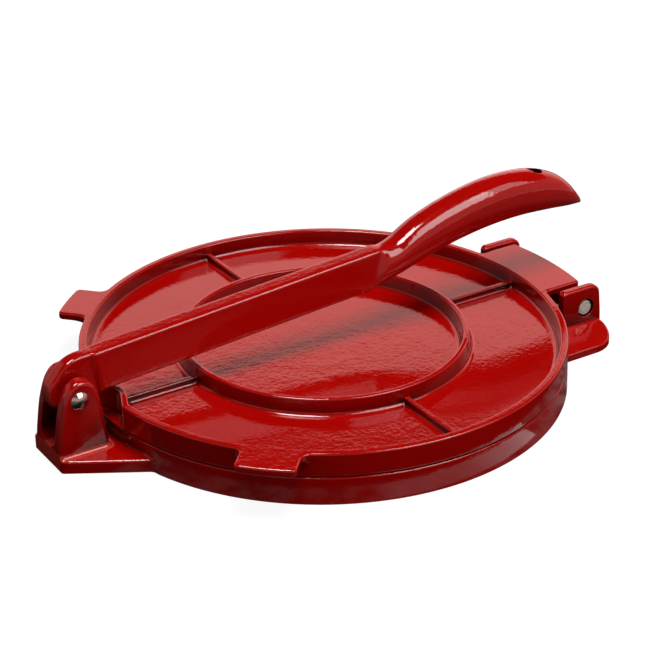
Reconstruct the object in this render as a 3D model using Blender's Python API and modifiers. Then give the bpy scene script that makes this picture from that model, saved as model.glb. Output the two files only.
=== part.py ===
"""Cast aluminium tortilla press: base casting, upper plate, lever, pivot and hinge screws.

Units are metres, +Z is up, the clevis is at -Y and the hinge at +Y. The origin is on the
table, under the middle of the closed press. Both plates share one vertical axis, the disc
axis, and every station below that ends in _Y is measured from it along +Y.
"""
import math

import bmesh
import bpy
from mathutils import Matrix

MM = 0.001
MERGE = MM / 1000
SPLINE_WEIGHT = 1.0

# Plates
PLATE_R = 130.0 * MM
PLATE_DRAFT = 0.4 * MM
EDGE_ROUND = 1.6 * MM
BASE_H = 15.0 * MM
BASE_SKIN = 5.0 * MM
BASE_WALL = 6.5 * MM
SEAT_GAP = 0.3 * MM
LID_H = 13.1 * MM
LID_SKIN = 4.0 * MM
LID_WALL = 4.2 * MM
WALL_DRAFT = 1.6 * MM
WALL_FILLET = 2.6 * MM
RING_SHARE = 0.583
RING_R = PLATE_R * RING_SHARE
RING_T = 2.8 * MM
RIB_T = 3.6 * MM
RIB_DROP = 5.4 * MM
LID_Z = BASE_H + SEAT_GAP
LID_TOP = LID_Z + LID_H
LID_FLOOR = LID_Z + LID_SKIN
BASE_FLOOR = BASE_H - BASE_SKIN
BASE_RING_LIFT = 1.0 * MM
BASE_RIB_LIFT = 2.5 * MM
OVERRUN = 3.0 * MM
BLEND = 4.0 * MM

# Stations along Y, each from the plates' axis
PIVOT_REACH = 20.0 * MM
CLEVIS_REACH = 13.0 * MM
HANDLE_REACH = 42.5 * MM
HINGE_REACH = 18.1 * MM
PIVOT_Y = -(PLATE_R + PIVOT_REACH)
CLEVIS_FRONT_Y = PIVOT_Y - CLEVIS_REACH
HANDLE_TIP_Y = PLATE_R + HANDLE_REACH
HINGE_Y = PLATE_R + HINGE_REACH
DISC_Y = -(CLEVIS_FRONT_Y + HANDLE_TIP_Y) / 2

# Dent in the front of the upper plate that clears the lever
DENT_HALF = 15.0 * MM
DENT_DEPTH = 7.4 * MM
DENT_ROUND = 9.0 * MM
DENT_WALL = 3.6 * MM

# Grip tabs
TAB_ANGLE = math.radians(46.6)
TAB_REACH = 15.8 * MM
TAB_HALF = 15.2 * MM
TAB_FLARE = 5.5 * MM
TAB_T = 3.8 * MM
TAB_ROUND = 3.0 * MM
TAB_LEAD = 1.0 * MM
TAB_EDGE = 1.1 * MM

# Foot plate and clevis of the base
FOOT_H = 7.0 * MM
FOOT_FRONT_HALF = 15.5 * MM
FOOT_REAR_HALF = 41.0 * MM
FOOT_INSET = 9.5 * MM
FOOT_REAR_Y = -(PLATE_R - FOOT_INSET)
FOOT_ROUND = 2.5 * MM
CLEVIS_HALF = 14.8 * MM
CLEVIS_DRAFT = 0.9 * MM
CLEVIS_INSET = 0.8 * MM
CLEVIS_LEAN = 2.6 * MM
CLEVIS_TOP = 46.9 * MM
CLEVIS_TOP_R = 10.4 * MM
CLEVIS_DEPTH = 15.0 * MM
CLEVIS_REAR_Y = PIVOT_Y + CLEVIS_DEPTH
CLEVIS_EDGE = 2.0 * MM
SLOT_HALF = 8.0 * MM
SLOT_FLOOR = 8.0 * MM
SLOT_ROUND = 5.6 * MM

# Lever and its pivot
PIVOT_Z = 36.6 * MM
PIVOT_R = 3.0 * MM
BORE_GAP = 0.3 * MM
LEVER_TOP_HALF = 5.0 * MM
LEVER_BOTTOM_HALF = 6.5 * MM
LEVER_EDGE = 1.9 * MM
ROOT_REACH = 10.9 * MM
ROOT_FRONT_Y = PIVOT_Y - ROOT_REACH
ROOT_LOW_Z = 31.3 * MM
ROOT_TURN_Z = 44.0 * MM
ROOT_TURN_R = 12.0 * MM
ROOT_FRONT_R = 7.2 * MM
HEEL_REACH = 19.5 * MM
HEEL_Y = PIVOT_Y + HEEL_REACH
HEEL_R = 4.0 * MM
HEEL_DROP = 1.5 * MM
ARM_TOP_Z = 55.2 * MM
ARM_LOW_Z = 33.4 * MM
ARM_LEAD = 15.0 * MM
ARM_START_Y = PIVOT_Y + ARM_LEAD
ARM_RISE = math.radians(4.25)

# Handle
HANDLE_LENGTH = 144.5 * MM
HANDLE_START_Y = HANDLE_TIP_Y - HANDLE_LENGTH
HANDLE_LOW_Z = 45.9 * MM
HANDLE_HIGH_Z = 90.4 * MM
HANDLE_HALF = 11.2 * MM
HANDLE_SIDES = 28
HANDLE_SECTIONS = 26
HANG_HOLE_R = 4.5 * MM
HANG_HOLE_INSET = 34.0 * MM
HANG_HOLE_Y = HANDLE_TIP_Y - HANG_HOLE_INSET
# The arm's two edges end inside the handle: lead from HANDLE_START_Y and lift off the arm's line
ARM_TOP_BEND = 14.0 * MM
ARM_LOW_BEND = 3.0 * MM
ARM_TUCK = 24.0 * MM
ARM_LOW_TUCK = 7.2 * MM
# Along the handle: place, half width, crest height and underside height, as shares of its
# length, of HANDLE_HALF and of the rise from HANDLE_LOW_Z to HANDLE_HIGH_Z
HANDLE_SHARES = (
    (0.00, 0.22, 0.30, 0.08),
    (0.05, 0.56, 0.42, 0.03),
    (0.12, 0.76, 0.535, 0.08),
    (0.19, 0.85, 0.685, 0.153),
    (0.29, 0.93, 0.812, 0.245),
    (0.42, 0.99, 0.93, 0.332),
    (0.54, 1.00, 0.989, 0.392),
    (0.65, 1.00, 1.00, 0.411),
    (0.77, 0.97, 0.946, 0.394),
    (0.87, 0.87, 0.82, 0.372),
    (0.94, 0.68, 0.64, 0.368),
    (0.985, 0.40, 0.49, 0.373),
    (1.00, 0.16, 0.41, 0.378),
)
HANDLE_BELLY_SHARE = 0.46
SECTION_POWER = 2.25

# Pivot post and its screw
DOME_R = 5.2 * MM
DOME_H = 2.4 * MM
DOME_LIP = 0.5 * MM
POST_SCREW_R = 2.0 * MM
POST_SCREW_LENGTH = 14.0 * MM
POST_SCREW_HEAD_R = 4.8 * MM
POST_SCREW_HEAD_H = 2.0 * MM
TIP_GAP = 1.2 * MM

# Rear flange, hinge lugs and hinge screws
HINGE_Z = 15.8 * MM
LUG_INNER = 33.7 * MM
LUG_T = 5.2 * MM
LUG_TOP = 28.2 * MM
LUG_LEAD = 16.3 * MM
LUG_TAIL = 9.3 * MM
LUG_FOOT_TAIL = 11.5 * MM
LUG_FRONT_Y = HINGE_Y - LUG_LEAD
LUG_REAR_Y = HINGE_Y + LUG_TAIL
LUG_FOOT_REAR_Y = HINGE_Y + LUG_FOOT_TAIL
LUG_CORNER = 4.5 * MM
LUG_FRONT_CORNER = 2.7 * MM
LUG_EDGE = 1.4 * MM
FLANGE_HALF = 61.2 * MM
FLANGE_TAIL = 10.5 * MM
FLANGE_REAR_Y = HINGE_Y + FLANGE_TAIL
FLANGE_ROUND = 16.0 * MM
FLANGE_EDGE_H = 4.6 * MM
FLANGE_FOOT_H = 8.4 * MM
BAY_FLOOR = 5.5 * MM
SCREW_R = 2.5 * MM
SCREW_HEAD_R = 4.25 * MM
SCREW_HEAD_H = 2.2 * MM
SCREW_HEAD_EDGE = 0.5 * MM
SCREW_LENGTH = 16.0 * MM
SCREW_SLOT = 1.2 * MM
SCREW_SLOT_DEPTH = 1.0 * MM
SCREW_SLOT_TURN = math.radians(28)
SINK_R = 5.6 * MM
SINK_DEPTH = 3.0 * MM

# Hinge tongue of the upper plate
TONGUE_HALF = 29.6 * MM
TONGUE_TAIL = 4.1 * MM
TONGUE_R = HINGE_Y + TONGUE_TAIL
TONGUE_T = 4.4 * MM
TONGUE_FLARE = 3.0 * MM
TONGUE_CORNER = 2.5 * MM
TONGUE_EDGE = 1.2 * MM
KNUCKLE_R = 6.3 * MM
KNUCKLE_LEAD = 15.1 * MM
KNUCKLE_TAIL = 0.3 * MM
KNUCKLE_FRONT_Y = HINGE_Y - KNUCKLE_LEAD
KNUCKLE_REAR_Y = HINGE_Y - KNUCKLE_TAIL
KNUCKLE_EDGE = 1.0 * MM

# Shares of a size next to them
WALL_REACH_SHARE = 0.97
TONGUE_ARC_SHARE = 0.9
HALF_ROUND_SHARE = 0.8
SKIN_ROUND_SHARE = 0.4
SINK_SHARE = 0.6

# Facets
TURN_STEPS = 60
ROUND_STEPS = 3
BORE_SIDES = 24
PROFILE_STEPS = 2
LEVER_STEPS = 4
CORNER_STEPS = 6
ARC_STEPS = 10
SHARP = math.radians(60)
LEVER_SHARP = math.radians(50)
SHADE_SHARP = math.radians(35)
HEAD_FRONT = math.radians(172)
HEAD_REAR = math.radians(12)
BARREL_START = math.radians(20)
BARREL_END = math.radians(-200)
DOME_STEPS = 5
EDGE_STEPS = 2

RED = (0.42, 0.012, 0.010, 1.0)
CHROME = (0.62, 0.62, 0.60, 1.0)


def clear_scene():
    """Remove what the new file starts with."""
    for item in list(bpy.data.objects):
        bpy.data.objects.remove(item, do_unlink=True)


def collection(name):
    """Make a collection in the scene."""
    made = bpy.data.collections.new(name)
    bpy.context.scene.collection.children.link(made)
    return made


def finish_material(name, colour, roughness, metallic):
    """Make one part's own material."""
    made = bpy.data.materials.new(name)
    made.use_nodes = True
    shader = made.node_tree.nodes["Principled BSDF"]
    shader.inputs["Base Color"].default_value = colour
    shader.inputs["Roughness"].default_value = roughness
    shader.inputs["Metallic"].default_value = metallic
    return made


def place(data, name, home):
    """Put a mesh or curve in a collection as a named object."""
    made = bpy.data.objects.new(name, data)
    home.objects.link(made)
    return made


def as_mesh(thing, name, home):
    """Turn a curve or an object with modifiers into a welded plain mesh object."""
    graph = bpy.context.evaluated_depsgraph_get()
    mesh = bpy.data.meshes.new_from_object(thing.evaluated_get(graph))
    mesh.name = name
    mesh.transform(thing.matrix_world)
    source = thing.data
    bpy.data.objects.remove(thing, do_unlink=True)
    if isinstance(source, bpy.types.Curve):
        bpy.data.curves.remove(source)
    body = bmesh.new()
    body.from_mesh(mesh)
    bmesh.ops.remove_doubles(body, verts=body.verts, dist=MERGE)
    bmesh.ops.recalc_face_normals(body, faces=body.faces)
    body.to_mesh(mesh)
    body.free()
    return place(mesh, name, home)


def arc_corner(before, corner, after, radius, steps):
    """Points that round one corner with a radius."""
    ax, ay = before[0] - corner[0], before[1] - corner[1]
    bx, by = after[0] - corner[0], after[1] - corner[1]
    la, lb = math.hypot(ax, ay), math.hypot(bx, by)
    ax, ay, bx, by = ax / la, ay / la, bx / lb, by / lb
    half = math.acos(max(-1.0, min(1.0, ax * bx + ay * by))) / 2
    reach = min(radius / math.tan(half), la * 0.49, lb * 0.49)
    radius = reach * math.tan(half)
    mx, my = ax + bx, ay + by
    lm = math.hypot(mx, my)
    cx = corner[0] + mx / lm * radius / math.sin(half)
    cy = corner[1] + my / lm * radius / math.sin(half)
    start = math.atan2(corner[1] + ay * reach - cy, corner[0] + ax * reach - cx)
    end = math.atan2(corner[1] + by * reach - cy, corner[0] + bx * reach - cx)
    sweep = (end - start + math.pi) % (2 * math.pi) - math.pi
    turns = [start + sweep * step / steps for step in range(steps + 1)]
    return [(cx + radius * math.cos(turn), cy + radius * math.sin(turn)) for turn in turns]


def rounded(corners, closed=True, steps=ROUND_STEPS):
    """Turn (x, y, radius) corners into a polyline, with an arc where a radius is given."""
    points = []
    count = len(corners)
    for index, (x, y, radius) in enumerate(corners):
        inside = closed or 0 < index < count - 1
        if radius > 0 and inside:
            before = corners[index - 1]
            after = corners[(index + 1) % count]
            points += arc_corner(before, (x, y), after, radius, steps)
        else:
            points.append((x, y))
    return points


def arc(centre, radius, start, end, steps):
    """Points on an arc, ends included, angles in radians."""
    turns = [start + (end - start) * step / steps for step in range(steps + 1)]
    return [(centre[0] + radius * math.cos(turn), centre[1] + radius * math.sin(turn))
            for turn in turns]


def slab(name, points, low, high, home):
    """Extrude a flat outline in X and Y between two heights."""
    curve = bpy.data.curves.new(name, "CURVE")
    curve.dimensions = "2D"
    curve.fill_mode = "BOTH"
    curve.extrude = (high - low) / 2
    line = curve.splines.new("POLY")
    line.points.add(len(points) - 1)
    for point, (x, y) in zip(line.points, points):
        point.co = (x, y, 0, SPLINE_WEIGHT)
    line.use_cyclic_u = True
    flat = place(curve, name, home)
    flat.location = (0, DISC_Y, (low + high) / 2)
    bpy.context.view_layer.update()
    return as_mesh(flat, name, home)


def side_slab(name, points, low, high, home):
    """Extrude a flat outline in Y and Z between two places along X."""
    curve = bpy.data.curves.new(name, "CURVE")
    curve.dimensions = "2D"
    curve.fill_mode = "BOTH"
    curve.extrude = (high - low) / 2
    line = curve.splines.new("POLY")
    line.points.add(len(points) - 1)
    for point, (y, z) in zip(line.points, points):
        point.co = (y, z, 0, SPLINE_WEIGHT)
    line.use_cyclic_u = True
    flat = place(curve, name, home)
    turn = Matrix(((0, 0, 1, 0), (1, 0, 0, 0), (0, 1, 0, 0), (0, 0, 0, 1)))
    flat.matrix_world = Matrix.Translation(((low + high) / 2, DISC_Y, 0)) @ turn
    bpy.context.view_layer.update()
    return as_mesh(flat, name, home)


def turned(name, profile, steps, home, axis="Z"):
    """Turn an (r, z) profile about the disc axis, or about X for a screw."""
    mesh = bpy.data.meshes.new(name)
    mesh.from_pydata([(r, 0, z) for r, z in profile], [(i, i + 1) for i in range(len(profile) - 1)], [])
    blank = place(mesh, name, home)
    screw = blank.modifiers.new("turn", "SCREW")
    screw.steps = steps
    screw.render_steps = steps
    screw.use_merge_vertices = True
    screw.merge_threshold = MERGE
    screw.use_smooth_shade = True
    if axis == "X":
        blank.matrix_world = Matrix.Rotation(math.pi / 2, 4, "Y")
    else:
        blank.location = (0, DISC_Y, 0)
    bpy.context.view_layer.update()
    return as_mesh(blank, name, home)


def rod(name, radius, start, end, home, y, z, axis="X"):
    """Make a cylinder along X or Z, from start to end, as a cutter or a boss."""
    body = bmesh.new()
    bmesh.ops.create_cone(body, cap_ends=True, segments=BORE_SIDES, radius1=radius,
                          radius2=radius, depth=end - start)
    mesh = bpy.data.meshes.new(name)
    body.to_mesh(mesh)
    body.free()
    made = place(mesh, name, home)
    if axis == "X":
        made.rotation_euler = (0, math.pi / 2, 0)
        made.location = ((start + end) / 2, y, z)
    else:
        made.location = (0, y, (start + end) / 2)
    return made


def block(name, low, high, home):
    """Make a box between two corners."""
    body = bmesh.new()
    bmesh.ops.create_cube(body, size=1)
    size = [b - a for a, b in zip(low, high)]
    middle = [(a + b) / 2 for a, b in zip(low, high)]
    bmesh.ops.scale(body, vec=size, verts=body.verts)
    bmesh.ops.translate(body, vec=middle, verts=body.verts)
    mesh = bpy.data.meshes.new(name)
    body.to_mesh(mesh)
    body.free()
    return place(mesh, name, home)


def bevel(thing, width, angle=SHARP):
    """Round the sharp edges of an object and keep the result as its mesh."""
    rounding = thing.modifiers.new("edges", "BEVEL")
    rounding.width = width
    rounding.segments = EDGE_STEPS
    rounding.limit_method = "ANGLE"
    rounding.angle_limit = angle
    bpy.context.view_layer.update()
    return as_mesh(thing, thing.name, thing.users_collection[0])


def combine(target, tool, operation):
    """Join a helper solid to a piece or cut it away, and hide the helper."""
    change = target.modifiers.new(tool.name, "BOOLEAN")
    change.operation = operation
    change.solver = "EXACT"
    change.object = tool
    tool.hide_render = True
    tool.display_type = "WIRE"


def finish(thing, material):
    """Give a piece its material and smooth shading with sharp edges kept."""
    thing.data.materials.clear()
    thing.data.materials.append(material)
    thing.data.shade_smooth()
    thing.data.set_sharp_from_angle(angle=SHADE_SHARP)


def set_origin(thing, point):
    """Move an object's origin to a point and leave its shape where it is."""
    thing.data.transform(Matrix.Translation([-value for value in point]))
    thing.location = point


def plate_profile(top, floor, low_wall, radius_low, flip):
    """One plate's (r, z) half section: skin, drafted rim wall and drafted inner ring."""
    rim_in = PLATE_R - low_wall
    half = RING_T / 2
    ring_out, ring_in = RING_R + half, RING_R - half
    hollow = [
        (0, floor, 0),
        (ring_in - WALL_DRAFT, floor, WALL_FILLET),
        (ring_in, flip["ring"], half * HALF_ROUND_SHARE),
        (ring_out, flip["ring"], half * HALF_ROUND_SHARE),
        (ring_out + WALL_DRAFT, floor, WALL_FILLET),
        (rim_in - WALL_DRAFT, floor, WALL_FILLET),
        (rim_in, flip["rim"], EDGE_ROUND * HALF_ROUND_SHARE),
        (PLATE_R + flip["out"], flip["rim"], EDGE_ROUND),
        (PLATE_R + radius_low, top, EDGE_ROUND * SKIN_ROUND_SHARE),
        (0, top, 0),
    ]
    return hollow


def base_casting(home, helpers, material):
    """Lower plate with its ribbed underside, foot plate, clevis, rear flange and hinge lugs."""
    section = plate_profile(BASE_H, BASE_FLOOR, BASE_WALL, 0,
                            {"ring": BASE_RING_LIFT, "rim": -OVERRUN, "out": PLATE_DRAFT})
    profile = rounded(list(reversed(section)), closed=False, steps=PROFILE_STEPS)
    base = turned("base_casting", profile, TURN_STEPS, home)
    add_ribs(base, BASE_RIB_LIFT, BASE_FLOOR + BASE_SKIN / 2, PLATE_R - BASE_WALL, "base", helpers)
    for helper in rear_flange(helpers):
        combine(base, helper, "UNION")
    combine(base, clevis(helpers), "UNION")
    combine(base, foot_plate(helpers), "UNION")
    far = PLATE_R + HANDLE_REACH
    combine(base, block("table_cut", (-far, -far, -far), (far, far, 0), helpers), "DIFFERENCE")
    slot = [(SLOT_HALF, SLOT_FLOOR, SLOT_ROUND), (SLOT_HALF, CLEVIS_TOP + OVERRUN, 0),
            (-SLOT_HALF, CLEVIS_TOP + OVERRUN, 0), (-SLOT_HALF, SLOT_FLOOR, SLOT_ROUND)]
    combine(base, front_slab("clevis_slot", rounded(slot), CLEVIS_FRONT_Y - OVERRUN,
                             CLEVIS_REAR_Y + BLEND, helpers), "DIFFERENCE")
    reach = CLEVIS_HALF + OVERRUN
    combine(base, rod("pivot_bore", PIVOT_R + BORE_GAP, -reach, reach, helpers,
                      DISC_Y + PIVOT_Y, PIVOT_Z), "DIFFERENCE")
    for side in (-1, 1):
        inner, outer = side * (LUG_INNER - OVERRUN), side * (LUG_INNER + LUG_T + OVERRUN)
        combine(base, rod(f"hinge_bore_{side}", SCREW_R + BORE_GAP, min(inner, outer),
                          max(inner, outer), helpers, DISC_Y + HINGE_Y, HINGE_Z), "DIFFERENCE")
        floor = side * (LUG_INNER + LUG_T - SINK_DEPTH)
        combine(base, rod(f"hinge_sink_{side}", SINK_R, min(floor, outer), max(floor, outer),
                          helpers, DISC_Y + HINGE_Y, HINGE_Z), "DIFFERENCE")
    finish(base, material)
    return base


def add_ribs(target, low, high, reach, label, helpers):
    """Join the four radial ribs that run from the ring to the rim."""
    start = RING_R
    for index in range(4):
        turn = Matrix.Translation((0, DISC_Y, 0)) @ Matrix.Rotation(index * math.pi / 2, 4, "Z")
        rib = block(f"{label}_rib_{index}", (start, -RIB_T / 2, low), (reach, RIB_T / 2, high), helpers)
        rib.data.transform(turn)
        combine(target, rib, "UNION")


def foot_plate(helpers):
    """Tapered plate that carries the clevis in front of the disc."""
    outline = rounded([
        (-FOOT_REAR_HALF, FOOT_REAR_Y, 0),
        (-FOOT_FRONT_HALF, CLEVIS_FRONT_Y, FOOT_ROUND),
        (FOOT_FRONT_HALF, CLEVIS_FRONT_Y, FOOT_ROUND),
        (FOOT_REAR_HALF, FOOT_REAR_Y, 0),
    ], closed=False)
    outline += wall_arc(FOOT_REAR_HALF, -math.pi / 2)
    return bevel(slab("foot_plate", outline, -OVERRUN, FOOT_H, helpers), EDGE_ROUND)


def wall_arc(half, middle):
    """Arc that runs inside the base's rim wall, from one side of a projection to the other."""
    radius = PLATE_R - BASE_WALL / 2
    sweep = math.asin(half / PLATE_R) * WALL_REACH_SHARE
    return arc((0, 0), radius, middle + sweep, middle - sweep, ARC_STEPS)


def clevis(helpers):
    """Clevis block: a drafted upright with a round head, cut into two lugs afterwards."""
    head_z = CLEVIS_TOP - CLEVIS_TOP_R
    front = CLEVIS_FRONT_Y + CLEVIS_INSET
    outline = [(front, FOOT_H / 2), (CLEVIS_FRONT_Y + CLEVIS_LEAN, head_z)]
    outline += arc((PIVOT_Y, head_z), CLEVIS_TOP_R, HEAD_FRONT, HEAD_REAR, ARC_STEPS)
    outline += [(CLEVIS_REAR_Y, FOOT_H / 2)]
    made = side_slab("clevis_block", outline, -CLEVIS_HALF, CLEVIS_HALF, helpers)
    for vertex in made.data.vertices:
        share = (vertex.co.z - FOOT_H) / (CLEVIS_TOP - FOOT_H)
        vertex.co.x *= 1 - share * CLEVIS_DRAFT / CLEVIS_HALF
    return bevel(made, CLEVIS_EDGE)


def front_slab(name, points, low, high, home):
    """Extrude a flat outline in X and Z between two stations along Y."""
    curve = bpy.data.curves.new(name, "CURVE")
    curve.dimensions = "2D"
    curve.fill_mode = "BOTH"
    curve.extrude = (high - low) / 2
    line = curve.splines.new("POLY")
    line.points.add(len(points) - 1)
    for point, (x, z) in zip(line.points, points):
        point.co = (x, z, 0, SPLINE_WEIGHT)
    line.use_cyclic_u = True
    flat = place(curve, name, home)
    turn = Matrix.Rotation(math.pi / 2, 4, "X")
    flat.matrix_world = Matrix.Translation((0, DISC_Y + (low + high) / 2, 0)) @ turn
    bpy.context.view_layer.update()
    return as_mesh(flat, name, home)


def rear_flange(helpers):
    """Rear flange with sloping shoulders, and the two hinge lugs that stand on it."""
    outer = LUG_INNER + LUG_T
    root_y = math.sqrt((PLATE_R - BASE_WALL / 2) ** 2 - FLANGE_HALF ** 2)
    outline = rounded([
        (FLANGE_HALF, root_y, 0),
        (FLANGE_HALF, FLANGE_REAR_Y, FLANGE_ROUND),
        (-FLANGE_HALF, FLANGE_REAR_Y, FLANGE_ROUND),
        (-FLANGE_HALF, root_y, 0),
    ], closed=False, steps=CORNER_STEPS)
    outline += wall_arc(FLANGE_HALF, math.pi / 2)
    flange = slab("rear_flange", outline, -OVERRUN, FLANGE_FOOT_H, helpers)
    flange = as_mesh(shoulder_cuts(flange, outer, helpers), "rear_flange", helpers)
    bay = block("flange_bay", (-LUG_INNER, DISC_Y + PLATE_R, BAY_FLOOR),
                (LUG_INNER, DISC_Y + LUG_FOOT_REAR_Y + OVERRUN, LUG_TOP + OVERRUN), helpers)
    combine(flange, bay, "DIFFERENCE")
    bpy.context.view_layer.update()
    solids = [as_mesh(flange, "rear_flange", helpers)]
    lug = [
        (LUG_FRONT_Y, FLANGE_EDGE_H / 2, 0),
        (LUG_FRONT_Y, LUG_TOP, LUG_FRONT_CORNER),
        (LUG_REAR_Y, LUG_TOP, LUG_CORNER),
        (LUG_FOOT_REAR_Y, FLANGE_FOOT_H, 0),
        (LUG_FOOT_REAR_Y, FLANGE_EDGE_H / 2, 0),
    ]
    for side in (-1, 1):
        low, high = sorted((side * LUG_INNER, side * outer))
        upright = side_slab(f"hinge_lug_{side}", rounded(lug), low, high, helpers)
        solids.append(bevel(upright, LUG_EDGE))
    return solids


def shoulder_cuts(flange, outer, helpers):
    """Slope the flange top down from the lug foot to its edge, on both sides and at the rear."""
    fall = FLANGE_FOOT_H - FLANGE_EDGE_H
    for side in (-1, 1):
        wedge = [(side * outer, FLANGE_FOOT_H), (side * outer, FLANGE_FOOT_H + OVERRUN),
                 (side * (FLANGE_HALF + OVERRUN), FLANGE_FOOT_H + OVERRUN),
                 (side * (FLANGE_HALF + OVERRUN),
                  FLANGE_EDGE_H - fall * OVERRUN / (FLANGE_HALF - outer))]
        combine(flange, front_slab(f"shoulder_{side}", wedge, 0, LUG_FOOT_REAR_Y + OVERRUN, helpers),
                "DIFFERENCE")
    bpy.context.view_layer.update()
    return flange


def upper_plate(home, helpers, material):
    """Lid casting: rim, ring, ribs, grip tabs, front dent, hinge tongue and knuckle."""
    profile = rounded(plate_profile(LID_Z, LID_FLOOR, LID_WALL, 0,
                                    {"ring": LID_TOP, "rim": LID_TOP, "out": 0}),
                      closed=False, steps=PROFILE_STEPS)
    lid = turned("upper_plate", profile, TURN_STEPS, home)
    add_ribs(lid, LID_FLOOR - LID_SKIN / 2, LID_TOP - RIB_DROP, PLATE_R - LID_WALL, "lid", helpers)
    for side in (-1, 1):
        combine(lid, grip_tab(side, helpers), "UNION")
    for helper in tongue(helpers):
        combine(lid, helper, "UNION")
    for helper, operation in dent(helpers):
        combine(lid, helper, operation)
    for side in (-1, 1):
        low, high = sorted((side * (LUG_INNER + OVERRUN), side * (LUG_INNER - SCREW_LENGTH)))
        combine(lid, rod(f"tongue_bore_{side}", SCREW_R + BORE_GAP, low, high, helpers,
                         DISC_Y + HINGE_Y, HINGE_Z), "DIFFERENCE")
    set_origin(lid, (0, DISC_Y + HINGE_Y, HINGE_Z))
    finish(lid, material)
    return lid


def dent(helpers):
    """The wall that follows the front dent inside the rim, then the dent itself."""
    wide = DENT_HALF + DENT_WALL / 2
    deep = DENT_DEPTH + DENT_WALL
    inner = -math.sqrt((PLATE_R - LID_WALL / 2) ** 2 - wide ** 2)
    wall = [(-wide, inner - BLEND / 4, 0), (wide, inner - BLEND / 4, 0), (wide, inner, 0),
            (0, -PLATE_R + deep, DENT_ROUND), (-wide, inner, 0)]
    edge = -math.sqrt(PLATE_R ** 2 - DENT_HALF ** 2)
    slope = (-PLATE_R + DENT_DEPTH - edge) / DENT_HALF
    far = DENT_HALF + OVERRUN
    cut = [(-far, edge - slope * OVERRUN, 0), (0, -PLATE_R + DENT_DEPTH, DENT_ROUND),
           (far, edge - slope * OVERRUN, 0), (far, -PLATE_R - OVERRUN, 0),
           (-far, -PLATE_R - OVERRUN, 0)]
    return [
        (slab("dent_wall", rounded(wall), LID_FLOOR - LID_SKIN / 2, LID_TOP, helpers), "UNION"),
        (slab("dent_cut", rounded(cut), LID_Z - OVERRUN, LID_TOP + OVERRUN, helpers), "DIFFERENCE"),
    ]


def grip_tab(side, helpers):
    """One flat grip tab, flush with the rim, flared where it leaves the plate."""
    root = PLATE_R - LID_WALL / 2
    tip = PLATE_R + TAB_REACH
    wide = TAB_HALF + TAB_FLARE
    outline = [
        (root, -wide, 0), (PLATE_R - TAB_LEAD, -wide, TAB_FLARE / 2),
        (PLATE_R + TAB_FLARE, -TAB_HALF, TAB_FLARE),
        (tip, -TAB_HALF, TAB_ROUND), (tip, TAB_HALF, TAB_ROUND),
        (PLATE_R + TAB_FLARE, TAB_HALF, TAB_FLARE), (PLATE_R - TAB_LEAD, wide, TAB_FLARE / 2),
        (root, wide, 0),
    ]
    made = slab(f"grip_tab_{side}", rounded(outline), LID_TOP - TAB_T, LID_TOP, helpers)
    made = bevel(made, TAB_EDGE)
    spot = Matrix.Translation((0, DISC_Y, 0))
    turn = spot @ Matrix.Rotation(-math.pi / 2 + side * TAB_ANGLE, 4, "Z") @ spot.inverted()
    made.data.transform(turn)
    return made


def tongue(helpers):
    """Hinge tongue: a plate flush with the rim, a knuckle under it and its side bosses."""
    sweep = math.asin(TONGUE_HALF / TONGUE_R)
    lean = sweep * TONGUE_ARC_SHARE
    rear = arc((0, 0), TONGUE_R, math.pi / 2 - lean, math.pi / 2 + lean, ARC_STEPS)
    root_y = math.sqrt(PLATE_R ** 2 - TONGUE_HALF ** 2)
    wide = TONGUE_HALF + TONGUE_FLARE
    corner_y = TONGUE_R * math.cos(sweep)
    side = [(wide, root_y - BLEND), (wide, root_y - TONGUE_FLARE / 2),
            (TONGUE_HALF, root_y + TONGUE_FLARE), (TONGUE_HALF, corner_y - TONGUE_CORNER)]
    outline = side + rear + [(-x, y) for x, y in reversed(side)]
    plate = bevel(slab("tongue_plate", outline, LID_TOP - TONGUE_T, LID_TOP, helpers),
                  TONGUE_EDGE)
    under = LID_TOP - TONGUE_T * SINK_SHARE
    barrel = arc((HINGE_Y, HINGE_Z), KNUCKLE_R, BARREL_START, BARREL_END, ARC_STEPS)
    neck = [(KNUCKLE_FRONT_Y, under), (KNUCKLE_REAR_Y, under)] + barrel
    knuckle = bevel(side_slab("knuckle", neck, -TONGUE_HALF, TONGUE_HALF, helpers),
                    KNUCKLE_EDGE)
    solids = [plate, knuckle]
    for face in (-1, 1):
        low, high = sorted((face * (TONGUE_HALF - BLEND), face * (LUG_INNER - SEAT_GAP)))
        solids.append(rod(f"knuckle_boss_{face}", KNUCKLE_R - KNUCKLE_EDGE, low, high, helpers,
                          DISC_Y + HINGE_Y, HINGE_Z))
    return solids


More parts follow.
